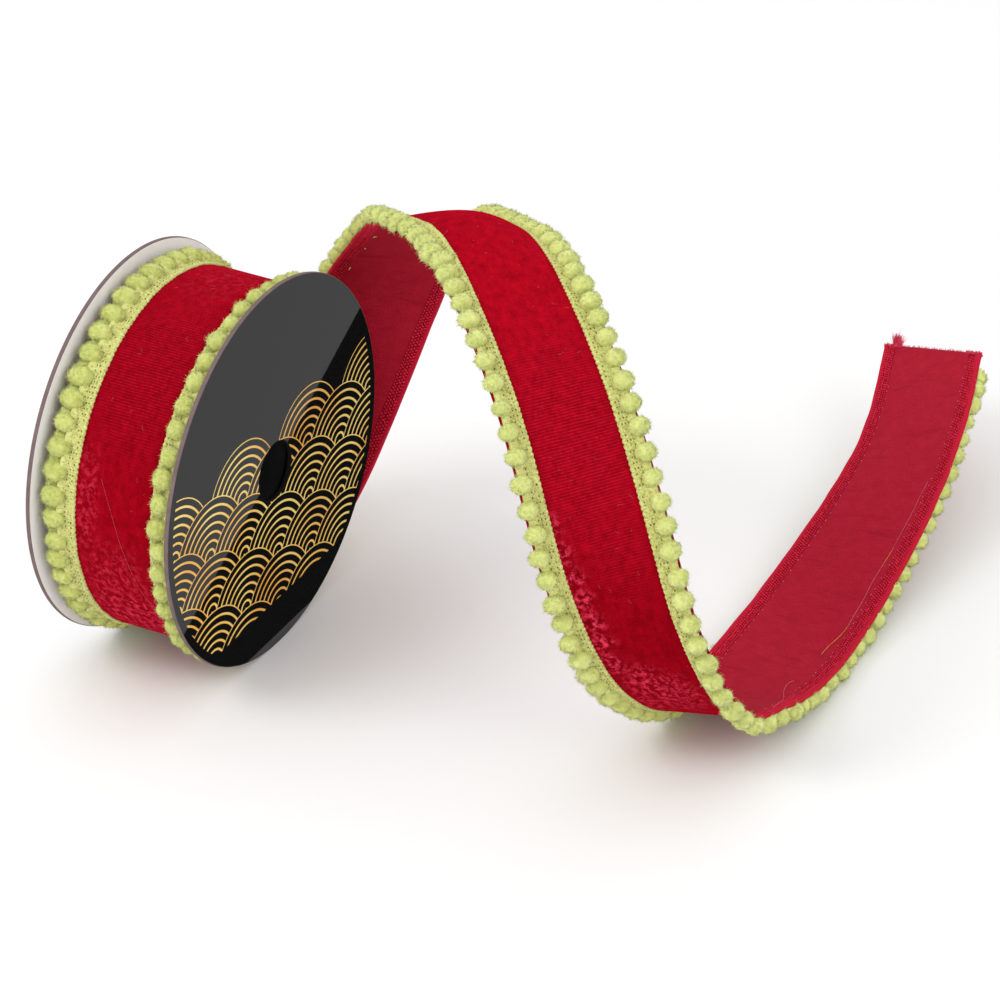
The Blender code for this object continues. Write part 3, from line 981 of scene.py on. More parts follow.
def build_tape(name, side, start, end):
    """A closed strip from one distance to another along the edge on that side, 1 or -1."""
    local = np.random.default_rng(int(abs(start) * 1000) + 5 + side)
    periods = int(round((end - start) / TAPE_PERIOD))
    steps = (start + np.arange(periods)[:, None] * TAPE_PERIOD + np.array(TAPE_ROWS)).reshape(-1, 1)
    table = np.array(TAPE_COLUMNS)
    rows, columns = len(steps), len(table)
    across = np.broadcast_to(table[:, 0] * MM, (rows, columns)).copy()
    height = np.broadcast_to(table[:, 1] * MM, (rows, columns)).copy()
    loops = np.abs(np.sin(math.pi * steps / TAPE_PERIOD))
    across[:, : len(LOOP_SHARES)] -= LOOP_REACH * loops * np.array(LOOP_SHARES)
    wander = TAPE_WANDER * waves(steps, 0.0, (0.011, 0.017, 0.029), 40 + side)
    height[:, WOVEN] += PICK_HEIGHT * np.cos(4.0 * math.pi * steps / TAPE_PERIOD)
    height[:, WOVEN] += local.normal(0.0, WEAVE_UNEVEN, (rows, WOVEN.stop - WOVEN.start))
    height[:, WOVEN.stop : -1] += local.normal(0.0, BUNDLE_UNEVEN, (rows, columns - 1 - WOVEN.stop))
    across[:, 1:-1] += local.normal(0.0, ACROSS_UNEVEN, (rows, columns - 2)) + wander
    distance = steps + local.normal(0.0, ALONG_UNEVEN, (rows, columns))
    across = side * across
    order = slice(None, None, side)
    distance, across, height = distance[:, order], across[:, order], height[:, order]
    lift = surface_offset(distance, across)
    points = ribbon_points(distance, across, height + lift)
    starts = table[:, 2] > 0
    gap_column = starts if side > 0 else np.roll(starts[::-1], -1)
    gap_row = np.arange(rows - 1) % len(TAPE_ROWS) == GAP_ROW
    open_share = OPEN_GAPS + OPEN_GAPS_SWING * waves(steps[:-1], 0.0, (0.031, 0.047, 0.073), 60 + side)
    open_here = local.uniform(0.0, 1.0, (rows - 1, columns)) < open_share
    gaps = (gap_row[:, None] & gap_column[None, :] & open_here).reshape(-1)
    cloth = np.stack((distance.reshape(-1), across.reshape(-1)), axis=1)
    faces = [grid_faces(rows, columns, closed=True), end_caps(rows, columns)]
    kinds = np.concatenate((gaps, np.zeros(len(faces[1]))))
    obj = array_mesh(name, points, faces, cloth, (lime_tape, tape_gap), kinds)
    tint = np.where(table[order, 0] > BUNDLE_FROM, BUNDLE_TINT, WEAVE_TINT)
    store(obj, "tint", tint + local.normal(0.0, TINT_SCATTER, (rows, columns)))
    return obj


# %% The four tapes
TAPE_ROLL_START = ROLL_START + 0.016
TAPE_TAIL_START = 0.0004
TAPE_END = {"front": 0.8460, "back": 0.8742}
tapes = {}
for side_name, side in (("front", 1), ("back", -1)):
    reaches = {"roll": (TAPE_ROLL_START, 0.0), "tail": (TAPE_TAIL_START, TAPE_END[side_name])}
    for place, reach in reaches.items():
        tape = build_tape(f"tape_{place}_{side_name}", side, *reach)
        tapes[place, side_name] = tape
        print(tape.name, len(tape.data.polygons), "faces")

# %% [markdown]
# ## The pompoms
# A pompom is a bundle of yarn tied tight and clipped round, so it is a dense ball whose surface is
# nothing but cut ends. Hair particles would show that in a render but leave no mesh behind. Here each
# ball is a lumpy core with a few hundred small closed tufts standing on it, all made as arrays at
# once, and one mesh holds a whole row of pompoms.

# %% Sizes and places of the pompoms
POMPOM_SETS = {
    # half sizes along, across and out, then place across from the middle and height, all in mm
    ("tail", "front"): (4.35, 4.75, 4.15, 26.4, 3.2),
    ("tail", "back"): (4.15, 4.85, 4.05, 26.6, 3.1),
    ("roll", "front"): (4.95, 4.50, 4.15, 24.2, 3.3),
    ("roll", "back"): (5.00, 5.95, 4.20, 29.0, 1.9),
    ("under", "back"): (5.00, 4.70, 4.10, 30.0, 2.5),
}
# distances along the ribbon, and the share of their size that the pompoms have there
PLUMPER = ((0.0, 0.20, 0.24, 0.29, 0.36, 0.50, 0.62, 0.88), (0.98, 1.03, 1.15, 1.12, 0.97, 1.04, 1.07, 1.03))
# distances, and how far the pompoms are turned in under the cloth there, mm, for each side
TURNED_UNDER = {
    1: ((0.01, 0.04, 0.185, 0.215, 0.72, 0.80, 0.832, 0.833), (0.0, 4.2, 4.2, 0.0, 0.0, 1.4, 1.4, 0.0)),
    -1: ((0.585, 0.66), (0.0, 3.1)),
}
# distances, and how far the back edge's pompoms are sunk in the trough, mm
SUNK = ((0.48, 0.52, 0.59, 0.63), (0.0, 1.4, 1.4, 0.0))
# which way across each edge lies, and how much of a pitch its pompoms are moved on
SIDES = {"front": (1, 0.0), "back": (-1, BACK_EDGE_OFFSET)}
SIZE_SCATTER = 0.040
ALONG_SCATTER, ACROSS_SCATTER = 0.00028, 0.00030


def pompom_places(local, place, side_name, counts, squash):
    """Distance, across, height and the three half sizes of each pompom of an edge."""
    side, offset = SIDES[side_name]
    number = len(counts)
    distance = (np.array(counts, dtype=float) + offset) * POMPOM_PITCH
    distance = distance + local.normal(0.0, ALONG_SCATTER, number)
    *half_sizes, from_middle, height = np.array(POMPOM_SETS[place, side_name]) * MM
    turned_under = np.interp(distance, *TURNED_UNDER[side]) * MM
    across = side * (from_middle + local.normal(0.0, ACROSS_SCATTER, number) - turned_under)
    height = height - np.interp(distance, *SUNK) * MM * (side < 0)
    size = np.interp(distance, *PLUMPER) * (1.0 + local.normal(0.0, SIZE_SCATTER, number))
    squashed = np.stack((np.ones(number), np.ones(number), squash), axis=1)
    return distance, across, height * squash, size[:, None] * half_sizes * squashed


print(len(POMPOM_SETS), "rows of pompoms,", POMPOM_PITCH, "m apart")


# %% A ball to start from
def ball_template(levels):
    ball = bmesh.new()
    bmesh.ops.create_icosphere(ball, subdivisions=levels, radius=1.0)
    points = np.array([tuple(vertex.co) for vertex in ball.verts])
    faces = np.array([[vertex.index for vertex in face.verts] for face in ball.faces])
    ball.free()
    return points, faces


BALL_POINTS, BALL_FACES = ball_template(3)
print("ball", len(BALL_POINTS), "points", len(BALL_FACES), "faces")

# %% Cut tufts, short and thick or long and thin
# lengths from the middle of the ball and widths, as shares of its half size
TUFTS = 400
TUFT_SIDES = 3
TUFT_LENGTH, TUFT_LENGTH_SCATTER, TUFT_WIDTHS = 1.01, 0.045, (0.060, 0.105)
HAIR_SHARE = 0.42
HAIR_LENGTHS, HAIR_WIDTH = (1.08, 1.36), 0.032
ROOT_SHARE = 0.88
LEAN_SCATTER, MOST_LEAN = 0.20, 0.26
UNDER_BELOW, UNDER_WITHIN = -0.20, 0.10
# the sides and the foot of a tuft, by its three root points and its tip
SPIKE = np.array(((0, 1, 3), (1, 2, 3), (2, 0, 3), (0, 2, 1)))


def tuft_shapes(local, surface_of, number, side):
    """Points of the cut tufts on each ball, three at the root and the tip, and the way each stands.

    Most tufts are short and thick, and the others are long thin hairs. None leans so far that it
    turns inside out, and none stands under the ball, where it lies on the tape.
    """
    way = unit(local.normal(0.0, 1.0, (number, TUFTS, 3)))
    under = (way[..., 2] < UNDER_BELOW) & (side * way[..., 1] < UNDER_WITHIN)
    way = np.where(under[..., None], -way, way)
    lean = unit(way + np.clip(local.normal(0.0, LEAN_SCATTER, way.shape), -MOST_LEAN, MOST_LEAN))
    beside = unit(np.cross(way, local.normal(0.0, 1.0, way.shape)))
    beyond = np.cross(way, beside)
    hair = local.uniform(0.0, 1.0, (number, TUFTS, 1)) < HAIR_SHARE
    short = TUFT_LENGTH + np.abs(local.normal(0.0, TUFT_LENGTH_SCATTER, hair.shape))
    long = np.where(hair, local.uniform(*HAIR_LENGTHS, hair.shape), short)
    width = np.where(hair, HAIR_WIDTH, local.uniform(*TUFT_WIDTHS, hair.shape))
    rise = surface_of(way)[..., None]
    turns = 2.0 * math.pi * np.arange(TUFT_SIDES) / TUFT_SIDES
    root = rise * ROOT_SHARE * way
    feet = [root + width * (math.cos(turn) * beside + math.sin(turn) * beyond) for turn in turns]
    return np.stack((*feet, rise * long * lean), axis=2), way


def pompom_faces(number, points_each):
    """Corners of every core and every closed tuft, for pompoms that lie one after another."""
    starts = np.arange(number)[:, None, None] * points_each
    spikes = (len(BALL_POINTS) + np.arange(TUFTS)[:, None, None] * (TUFT_SIDES + 1) + SPIKE).reshape(-1, 3)
    return np.concatenate(((BALL_FACES + starts).reshape(-1, 3), (spikes + starts).reshape(-1, 3)))


print(TUFTS, "tufts on each ball, some", round(TUFTS * HAIR_SHARE), "of them hairs")

# %% Yarn pressed against the card and the floor
FLANGE_RADIUS = 0.0893
CARD_MARGIN = 0.001
PRESS_GAP = 0.0003
PRESS_REACH = 0.0040
FLOOR_GAP = 0.0003


def press(points):
    """Yarn that would pass into the black card or the floor is pushed back to its face."""
    local = points - SPOOL_POINT
    reach = np.hypot(local[:, 1], local[:, 2] - AXIS_Z)
    wall = -CARD - PRESS_GAP
    beside_card = reach < FLANGE_RADIUS + CARD_MARGIN
    inside = beside_card & (local[:, 0] > wall) & (local[:, 0] < PRESS_REACH)
    local[:, 0] = np.where(inside, wall, local[:, 0])
    local[:, 2] = np.maximum(local[:, 2], FLOOR_GAP)
    return local + SPOOL_POINT


print("yarn within", PRESS_REACH, "m of the black card is pressed to it")

# %% Tones of the yarn, with painted shade and painted light
# how much darker the yarn is painted, as the shade where the card or the turn above shades it
PAINTED_SHADE_BY_PLACE = {"tail": 0.02, "roll": 0.45, "under": 0.52}
DARKEST, PALEST = 0.74, 1.0
CORE_PAINTED_SHADE_SHARE = 0.62
TUFT_TONE_SCATTER = 0.20
ROOT_PAINTED_SHADE, TIP_PAINTED_LIGHT = -0.30, 0.25


def pompom_tints(local, place, number):
    """Each pompom has its own tone, less painted shade where the card or the turn above covers it; its core
    is darker as painted shade, and its tufts go from painted shade at the root to painted light towards their
    tips.
    """
    tone = local.uniform(DARKEST, PALEST, (number, 1)) - PAINTED_SHADE_BY_PLACE[place]
    core = np.broadcast_to(tone * CORE_PAINTED_SHADE_SHARE, (number, len(BALL_POINTS)))
    tufts = tone + local.normal(0.0, TUFT_TONE_SCATTER, (number, TUFTS))
    tufts = tufts[..., None] + np.array((ROOT_PAINTED_SHADE, ROOT_PAINTED_SHADE, ROOT_PAINTED_SHADE, TIP_PAINTED_LIGHT))
    return np.concatenate((core, np.clip(tufts, 0.0, 1.0).reshape(number, -1)), axis=1)


print("tones from", DARKEST, "to", PALEST, "before the shade on the roll")

# %% One row of pompoms as a mesh
CORE_SHARE = 0.95
LUMPS, LUMP_HEIGHT, LUMP_CROWDING = 6, 0.020, 3.0
SEWN_REACH = 0.0006
SEWN_LEVEL = 0.0003
FACING_SCATTER = 0.20


def build_pompoms(place, side_name, counts, squash=1.0):
    """Pompoms at whole numbers of pitches along the edge; squash is each one's height's share."""
    side = SIDES[side_name][0]
    number = len(counts)
    local = np.random.default_rng(23 + side + number)
    squash = np.broadcast_to(squash, number)
    distance, across, height, half_sizes = pompom_places(local, place, side_name, counts, squash)
    bumps = local.normal(0.0, LUMP_CROWDING, (number, LUMPS, 3))
    phases = local.uniform(0.0, 2.0 * math.pi, (number, LUMPS, 1))

    def surface_of(directions):
        lumps = np.sin(bumps @ directions.transpose(0, 2, 1) + phases).sum(axis=1)
        return 1.0 + LUMP_HEIGHT * lumps

    ball = np.broadcast_to(BALL_POINTS, (number, *BALL_POINTS.shape))
    core = ball * (surface_of(ball) * CORE_SHARE)[..., None]
    tufts, way = tuft_shapes(local, surface_of, number, side)
    shapes = np.concatenate((core, tufts.reshape(number, -1, 3)), axis=1) * half_sizes[:, None, :]
    shapes += np.stack((np.zeros(number), across, height), axis=1)[:, None, :]
    sewn = np.abs(shapes[..., 1]) < RIBBON_HALF + SEWN_REACH
    shapes[..., 2] = np.where(sewn, np.maximum(shapes[..., 2], SEWN_LEVEL), shapes[..., 2])
    shapes[..., 2] += surface_offset(distance, across)[:, None]
    point, along, over, out = ribbon_frames(distance)
    frame = np.stack((along, over, out), axis=1)
    points = press((point[:, None, :] + shapes @ frame).reshape(-1, 3))
    faces = pompom_faces(number, shapes.shape[1])
    obj = array_mesh(f"pompoms_{place}_{side_name}", points, [faces], None, (lime_pile,))
    facing = np.concatenate((ball, np.repeat(way, TUFT_SIDES + 1, axis=1)), axis=1)
    facing = unit(facing + local.normal(0.0, FACING_SCATTER, facing.shape)) @ frame
    obj.data.normals_split_custom_set_from_vertices(facing.reshape(-1, 3).tolist())
    store(obj, "tint", pompom_tints(local, place, number))
    return obj


# %% Pompoms of the loose end, of the roll and of the turn beneath
ROLL_COUNTS = {"front": np.arange(-48, 1), "back": np.arange(-49, 0)}
FREE_COUNT = {"front": 44, "back": 39}
TURN_COUNT = 49
MOST_SQUASH = 0.6
TAIL_COUNTS = {"front": np.append(np.arange(1, 80), (79.90, 80.60)), "back": np.arange(0, 83)}
pompoms = {("under", "back"): build_pompoms("under", "back", ROLL_COUNTS["back"] - TURN_COUNT)}
for side_name, counts in ROLL_COUNTS.items():
    trapped = 1.0 - MOST_SQUASH * smooth_step(-counts, FREE_COUNT[side_name], TURN_COUNT + 1)
    pompoms["roll", side_name] = build_pompoms("roll", side_name, counts, trapped)
for side_name, counts in TAIL_COUNTS.items():
    pompoms["tail", side_name] = build_pompoms("tail", side_name, counts)
for key, group in pompoms.items():
    print(key, len(group.data.polygons), "faces")

# %% [markdown]
# ## The card discs
# Each end of the spool is a disc of pressed card, punched with a hub hole and a little flattened
# where it stands. A lathed section with a rounded rim gives the disc, and the lowest points are
# levelled to the floor. The front is printed glossy black with gold, and the back one shows its plain
# white inside.

# %% Build the discs
HUB_RADIUS = 0.014
RIM_ROUND = 0.00035
DISC_SEGMENTS = 256
FLOOR_LEVEL = 0.0
DISC_RINGS = (
    # radius and share of the thickness, from the hole along the front, round the rim and back
    (HUB_RADIUS, 0.08),
    (HUB_RADIUS + 0.0002, 0.0),
    (0.030, 0.0),
    (0.055, 0.0),
    (0.075, 0.0),
    (FLANGE_RADIUS - RIM_ROUND, 0.0),
    (FLANGE_RADIUS - 0.0001, 0.06),
    (FLANGE_RADIUS, 0.20),
    (FLANGE_RADIUS, 0.80),
    (FLANGE_RADIUS - 0.0001, 0.94),
    (FLANGE_RADIUS - RIM_ROUND, 1.0),
    (0.075, 1.0),
    (0.055, 1.0),
    (0.030, 1.0),
    (HUB_RADIUS + 0.0002, 1.0),
    (HUB_RADIUS, 0.92),
)
# which finish each strip between two rings has: front 0, rim 1, back 2 and inside of the hole 3, painted as
# shade
RING_FINISHES = (3, 0, 0, 0, 0, 1, 1, 1, 1, 1, 2, 2, 2, 2, 3, 3)


def build_disc(name, front_x, materials):
    """A disc whose front face is at front_x, with its finishes for front, rim, back and hole."""
    ring = np.array(DISC_RINGS)
    angle = np.linspace(0.0, 2.0 * math.pi, DISC_SEGMENTS, endpoint=False)[:, None]
    radius = np.broadcast_to(ring[:, 0], (DISC_SEGMENTS, len(ring)))
    x = np.broadcast_to(front_x - CARD * ring[:, 1], radius.shape)
    z = np.maximum(AXIS_Z + radius * np.sin(angle), FLOOR_LEVEL)
    points = np.stack((x, AXIS_Y + radius * np.cos(angle), z), axis=-1).reshape(-1, 3)
    faces = turned_faces(DISC_SEGMENTS, len(ring))
    kinds = np.tile(RING_FINISHES, DISC_SEGMENTS)
    middle = np.array((0.0, AXIS_Y, AXIS_Z))
    return array_mesh(name, points, [faces], (points - middle)[:, 1:], materials, kinds, smooth=False)


print(len(DISC_RINGS), "rings of", DISC_SEGMENTS, "points to each disc")

# %% [markdown]
# ## The gold print
# The black face carries a scale pattern in gold foil ink. Each scale is a set of arcs about its own
# centre, and each row covers the foot of the one above, so the rows stand like waves across the
# middle of the card, and its top and its foot stay plain. One group finds the distance to the
# nearest centre of a row, and the material asks it for three rows and keeps the one in front.

# %% One row of scales
ROW_STEP = 0.25
TOP_ROW = 9.0
FAR_OFF = 10.0
scale_row, graph, given, result = shader_group(
    "scale row", (("Across", FLOAT, 0.0), ("Upward", FLOAT, 0.0), ("Row", FLOAT, 0.0)), (("Distance", FLOAT),)
)
shift = graph.times(graph.math("MODULO", given.outputs["Row"], 2.0), 0.5)
unshifted = graph.minus(given.outputs["Across"], shift)
aside = graph.minus(unshifted, graph.math("ROUND", unshifted))
past = graph.minus(given.outputs["Upward"], graph.times(given.outputs["Row"], ROW_STEP))
left_out = graph.times(graph.math("GREATER_THAN", given.outputs["Row"], TOP_ROW), FAR_OFF)
graph.feed(result.inputs["Distance"], graph.plus(graph.length(aside, past), left_out))
print("group", scale_row.name, len(scale_row.nodes), "nodes")

# %% Black card with the gold scales
SCALE_WIDTH = 0.056
LOWEST_CENTRE = -0.126
PRINT_RADIUS = 0.0850
PRINT_FOOT = -0.066
ARCS = 14.0
SCALE_RADIUS = 0.5
LINE_EDGE = (0.350, 0.375)
BLACK_INK = (0.0042, 0.0046, 0.0050)
GOLD_DEEP, GOLD_PALE = (0.90, 0.46, 0.075), (0.98, 0.76, 0.210)
INK_ROUGHNESS, GOLD_ROUGHNESS = 0.07, 0.32
black_print, graph, surface = finish_for("black print with gold scales")
disc_place = graph.parts(cloth_place(graph))
level, height = disc_place[0], disc_place[1]
across_place = graph.math("DIVIDE", level, SCALE_WIDTH)
upward = graph.math("DIVIDE", graph.minus(height, LOWEST_CENTRE), SCALE_WIDTH)
lowest = graph.math("FLOOR", graph.math("DIVIDE", graph.minus(upward, SCALE_RADIUS), ROW_STEP))
rows_found = []
for step in (3.0, 2.0, 1.0):
    row = graph.plus(lowest, step)
    rows_found.append(placed(graph, scale_row, Across=across_place, Upward=upward, Row=row)["Distance"])
nearest = rows_found[0]
for found in rows_found[1:]:
    covers = graph.math("LESS_THAN", found, SCALE_RADIUS)
    nearest = graph.between(covers, nearest, found)
off_line = graph.minus(graph.math("FRACT", graph.times(nearest, ARCS)), 0.5)
lines = graph.ramp(graph.math("ABSOLUTE", off_line), *LINE_EDGE)
within = graph.math("LESS_THAN", graph.length(level, height), PRINT_RADIUS)
within = graph.times(within, graph.math("GREATER_THAN", height, PRINT_FOOT))
gold = graph.times(lines, graph.times(graph.math("LESS_THAN", nearest, SCALE_RADIUS), within))
foil = graph.ramp(graph.noise(cloth_place(graph), 22.0, 2.0), 0.38, 0.62)
graph.feed(surface.inputs["Base Color"], graph.mix(gold, BLACK_INK, graph.mix(foil, GOLD_DEEP, GOLD_PALE)))
graph.feed(surface.inputs["Roughness"], graph.ramp(gold, 0.0, 1.0, INK_ROUGHNESS, GOLD_ROUGHNESS))
set_evenly(surface, {"Specular IOR Level": 0.5})
print(black_print.name, len(black_print.node_tree.nodes), "nodes")

# %% Plain card finishes and the two discs
card_edge = grained("raw card edge", (0.130, 0.085, 0.085), (0.215, 0.150, 0.145), 1500.0, 0.9)
white_card = grained("white card", (0.95, 0.89, 1.0), (0.99, 0.93, 1.0), 600.0, 0.5)
plain_card = grained("plain card outside", (0.62, 0.61, 0.63), (0.74, 0.73, 0.74), 400.0, 0.6)
disc_front = build_disc("card_front", SPOOL_FACE_X, (black_print, card_edge, white_card, hub_shade))
disc_back = build_disc("card_back", SPOOL_BACK_X + CARD, (white_card, card_edge, plain_card, hub_shade))
print(disc_front.name, "and", disc_back.name, len(disc_back.data.polygons), "faces each")

# %% [markdown]
# ## Cards that only reflections see
# A glossy black face shows what stands round it. A light card and a dark card close to the face, cut
# along one straight line, give it the clean two-tone gloss of studio light. They are part of the
# studio, and only glossy rays meet them.

# %% Light and dark cards
CARDS_AWAY = 0.004
REFLECTOR_HALF = 0.200
SPLIT = ((-REFLECTOR_HALF, -0.0245), (REFLECTOR_HALF, 0.1920))
REFLECTOR_TOP = 0.45
REFLECTORS = (
    # name, height of its far edge and brightness
    ("light reflector", REFLECTOR_TOP, 0.50),
    ("dark reflector", -REFLECTOR_TOP, 0.02),
)


def reflector(name, far_edge, brightness):
    material = plain_material(name, (0.0, 0.0, 0.0), 1.0)
    set_evenly(material.node_tree.nodes["Principled BSDF"], {
        "Emission Color": (1.0, 1.0, 1.0, 1.0),
        "Emission Strength": brightness,
        "Specular IOR Level": 0.0,
    })
    corners = (*SPLIT, (REFLECTOR_HALF, far_edge), (-REFLECTOR_HALF, far_edge))
    places = [SPOOL_POINT + np.array((CARDS_AWAY, level, height)) for level, height in corners]
    panel = flat_panel(name, places, material)
    for kind in ("camera", "diffuse", "transmission", "volume_scatter", "shadow"):
        setattr(panel, f"visible_{kind}", False)


for reflector_row in REFLECTORS:
    reflector(*reflector_row)
print(len(REFLECTORS), "cards", CARDS_AWAY, "m from the black face")

# %% [markdown]
# ## Thread, stitches and loose fibres
# The ribbon's edges are overlocked: thread loops over the rolled edge and makes two columns of small
# Vs on the back, and the tape's own seam shows there as pale dots. Loose ends, lint and the frayed
# cut are threads too. Curves with a bevel would make them one by one; here one helper turns many
# short routes, given as points, into thin closed tubes at once.

# %% Many threads as one mesh
THREAD_SIDES = 3
TAPER_FROM, TAPER_TO = 1.15, 0.25


def thread_mesh(name, routes, radius, material, taper=False):
    """Closed tubes along an array of routes (threads, points, 3), thinner towards the end if tapered."""
    threads, steps = routes.shape[:2]
    along = unit(np.gradient(routes, axis=1))
    helper = np.where(np.abs(along[..., 2:]) > 0.8, (1.0, 0.0, 0.0), (0.0, 0.0, 1.0))
    first = unit(np.cross(along, helper))
    second = np.cross(first, along)
    turn = 2.0 * math.pi * np.arange(THREAD_SIDES) / THREAD_SIDES
    ring = first[:, :, None] * np.cos(turn)[:, None] + second[:, :, None] * np.sin(turn)[:, None]
    share = np.linspace(0.0, 1.0, steps)
    thickness = radius * (np.clip(TAPER_FROM - share, TAPER_TO, 1.0) if taper else np.ones(steps))
    points = routes[:, :, None] + ring * thickness[None, :, None, None]
    per_thread = steps * THREAD_SIDES
    starts = np.arange(threads)[:, None, None] * per_thread
    quads = (grid_faces(steps, THREAD_SIDES, closed=True)[None] + starts).reshape(-1, 4)
    caps = (end_caps(steps, THREAD_SIDES)[None] + starts).reshape(-1, 3)
    return array_mesh(name, points.reshape(-1, 3), [quads, caps], None, (material,))


def on_ribbon(distance, across, height):
    """World points standing a height out of the moved surface of the ribbon."""
    return ribbon_points(distance, across, height + surface_offset(distance, across))


def thread_finish(name, dark, light):
    return grained(name, dark, light, 2600.0, 0.7, softness=0.3, relief=0.0001, gloss=0.1)


red_thread = thread_finish("red overlock thread", (0.62, 0.012, 0.040), (0.92, 0.036, 0.090))
frayed_yarn = thread_finish("red frayed yarn", (0.52, 0.016, 0.060), (0.86, 0.080, 0.160))
pale_thread = thread_finish("pale seam thread", (0.62, 0.16, 0.22), (0.80, 0.42, 0.46))
gold_thread = thread_finish("loose yellow thread", (0.62, 0.26, 0.07), (0.80, 0.55, 0.16))
hair_fibre = thread_finish("fine stray fibre", (0.52, 0.10, 0.16), (0.66, 0.26, 0.30))
print("finishes by now:", len(bpy.data.materials))

# %% Overlock on the back of both edges
STITCH = 0.0016
STITCH_LINES = (
    # across from the middle, a grain's half sizes along its own length, across it and out, its lean
    (0.0258, (0.00105, 0.00050, 0.00050), 0.75),
    (0.0246, (0.00105, 0.00048, 0.00050), -0.75),
    (0.0233, (0.00100, 0.00046, 0.00046), 0.75),
    (0.0221, (0.00090, 0.00042, 0.00040), -0.75),
)
STITCH_LEVEL = -0.00078
STITCH_END = 0.0016
SKEW_SHARE = 0.9
GRAIN_SCATTER, LEAN_SPREAD, LINE_WANDER = 0.12, 0.12, 0.00010
GRAIN_POINTS = np.array(((-1, 0, 0), (1, 0, 0), (0, -1, 0), (0, 1, 0), (0, 0, -1), (0, 0, 1)), dtype=float)
GRAIN_OVER = ((5, 2, 0), (5, 1, 2), (5, 3, 1), (5, 0, 3))
GRAIN_UNDER = ((4, 0, 2), (4, 2, 1), (4, 1, 3), (4, 3, 0))
GRAIN_FACES = np.array(GRAIN_OVER + GRAIN_UNDER)


def build_overlock():
    """Each stitch is four short grains of thread, and each grain leans against the next line's."""
    local = np.random.default_rng(29)
    points = []
    for side in (-1.0, 1.0):
        stitches_end = TAIL_LENGTH - STITCH_END - side * CUT_SKEW * SKEW_SHARE
        for line, (across, half_sizes, slant) in enumerate(STITCH_LINES):
            starts = np.arange(line * STITCH / 2.0, stitches_end, STITCH)
            count = len(starts)
            grain = GRAIN_POINTS * half_sizes * (1.0 + local.normal(0.0, GRAIN_SCATTER, (count, 1, 1)))
            lean = side * slant + local.normal(0.0, LEAN_SPREAD, (count, 1))
            along = grain[..., 0] * np.cos(lean) - grain[..., 1] * np.sin(lean)
            over = grain[..., 0] * np.sin(lean) + grain[..., 1] * np.cos(lean)
            place = side * (across + local.normal(0.0, LINE_WANDER, (count, 1)))
            points.append(on_ribbon(starts[:, None] + along, place + over, STITCH_LEVEL - grain[..., 2]))
    points = np.concatenate(points)
    grains = len(points) // len(GRAIN_POINTS)
    faces = (GRAIN_FACES + np.arange(grains)[:, None, None] * len(GRAIN_POINTS)).reshape(-1, 3)
    return array_mesh("overlock_stitches", points, [faces], None, (red_thread,))


overlock = build_overlock()
print("overlock", len(overlock.data.polygons), "faces")


# %% Pale dots of the tape's seam
SEAM_SHOWS, SEAM_STOPS = 0.50, 0.850
SEAM_ACROSS = 0.0209
SEAM_LEVEL = -0.00066
DOT_STEPS, DOT_LENGTHS, DOT_RADIUS = (0.0030, 0.0090), (0.0004, 0.0010), 0.00012


def seam_routes():
    """Short stretches of seam thread, at uneven distances, along both edges."""
    local = np.random.default_rng(31)
    routes = []
    for side in (-1.0, 1.0):
        starts = np.cumsum(local.uniform(*DOT_STEPS, 150))
        starts = starts[(starts > SEAM_SHOWS) & (starts < SEAM_STOPS)]
        long = local.uniform(*DOT_LENGTHS, (len(starts), 1))
        distance = starts[:, None] + np.linspace(0.0, 1.0, 3) * long
        across = side * (SEAM_ACROSS + local.normal(0.0, 0.0002, (len(starts), 1)) + np.zeros(3))
        routes.append(on_ribbon(distance, across, np.full(3, SEAM_LEVEL)).reshape(-1, 3, 3))
    return np.concatenate(routes)


seam_dots = thread_mesh("seam_thread_dots", seam_routes(), DOT_RADIUS, pale_thread)
print("seam dots", len(seam_dots.data.polygons), "faces")


# %% Frayed cut end
LONG_FRAY_PLACE = -0.0215
LONG_FRAY_REACH = 0.0084
FIBRES, FIBRES_IN_WISP = 500, 120
YARNS_IN_WISP, YARNS_BY_CORNER = 60, 130
FRAY_HALF = 0.0286
FRAY_INSET = 0.0008
FRAY_LEVELS = (-0.0007, 0.0007)
FINE_FRAY_RADIUS, THICK_FRAY_RADIUS = 0.00016, 0.00042


def frayed_routes(local, across, reach, spread):
    """Threads that leave the cut at each place across, each reaching so far beyond it."""
    across = np.clip(across, -FRAY_HALF, FRAY_HALF)[:, None]
    share = np.linspace(0.0, 1.0, 4)
    cut_at = TAIL_LENGTH - CUT_SKEW * across / RIBBON_HALF - FRAY_INSET
    distance = cut_at + share * (reach[:, None] + FRAY_INSET)
    bend = reach[:, None] * share
    wander = local.normal(0.0, spread, across.shape) * bend + local.normal(0.0, 0.00010, (len(across), 4))
    height = local.uniform(*FRAY_LEVELS, across.shape) + local.normal(0.0, spread, across.shape) * bend
    return on_ribbon(distance, across + wander, height).reshape(-1, 4, 3)


def fine_fray():
    """Single fibres all along the cut, and a longer wisp of them at one place."""
    local = np.random.default_rng(37)
    along_cut = local.uniform(-0.0285, 0.0285, FIBRES)
    across = np.concatenate((along_cut, LONG_FRAY_PLACE + local.normal(0.0, 0.0012, FIBRES_IN_WISP)))
    short = local.uniform(0.0004, 0.0019, FIBRES)
    reach = np.concatenate((short, LONG_FRAY_REACH * local.uniform(0.4, 1.0, FIBRES_IN_WISP)))
    return frayed_routes(local, across, reach, 0.25)


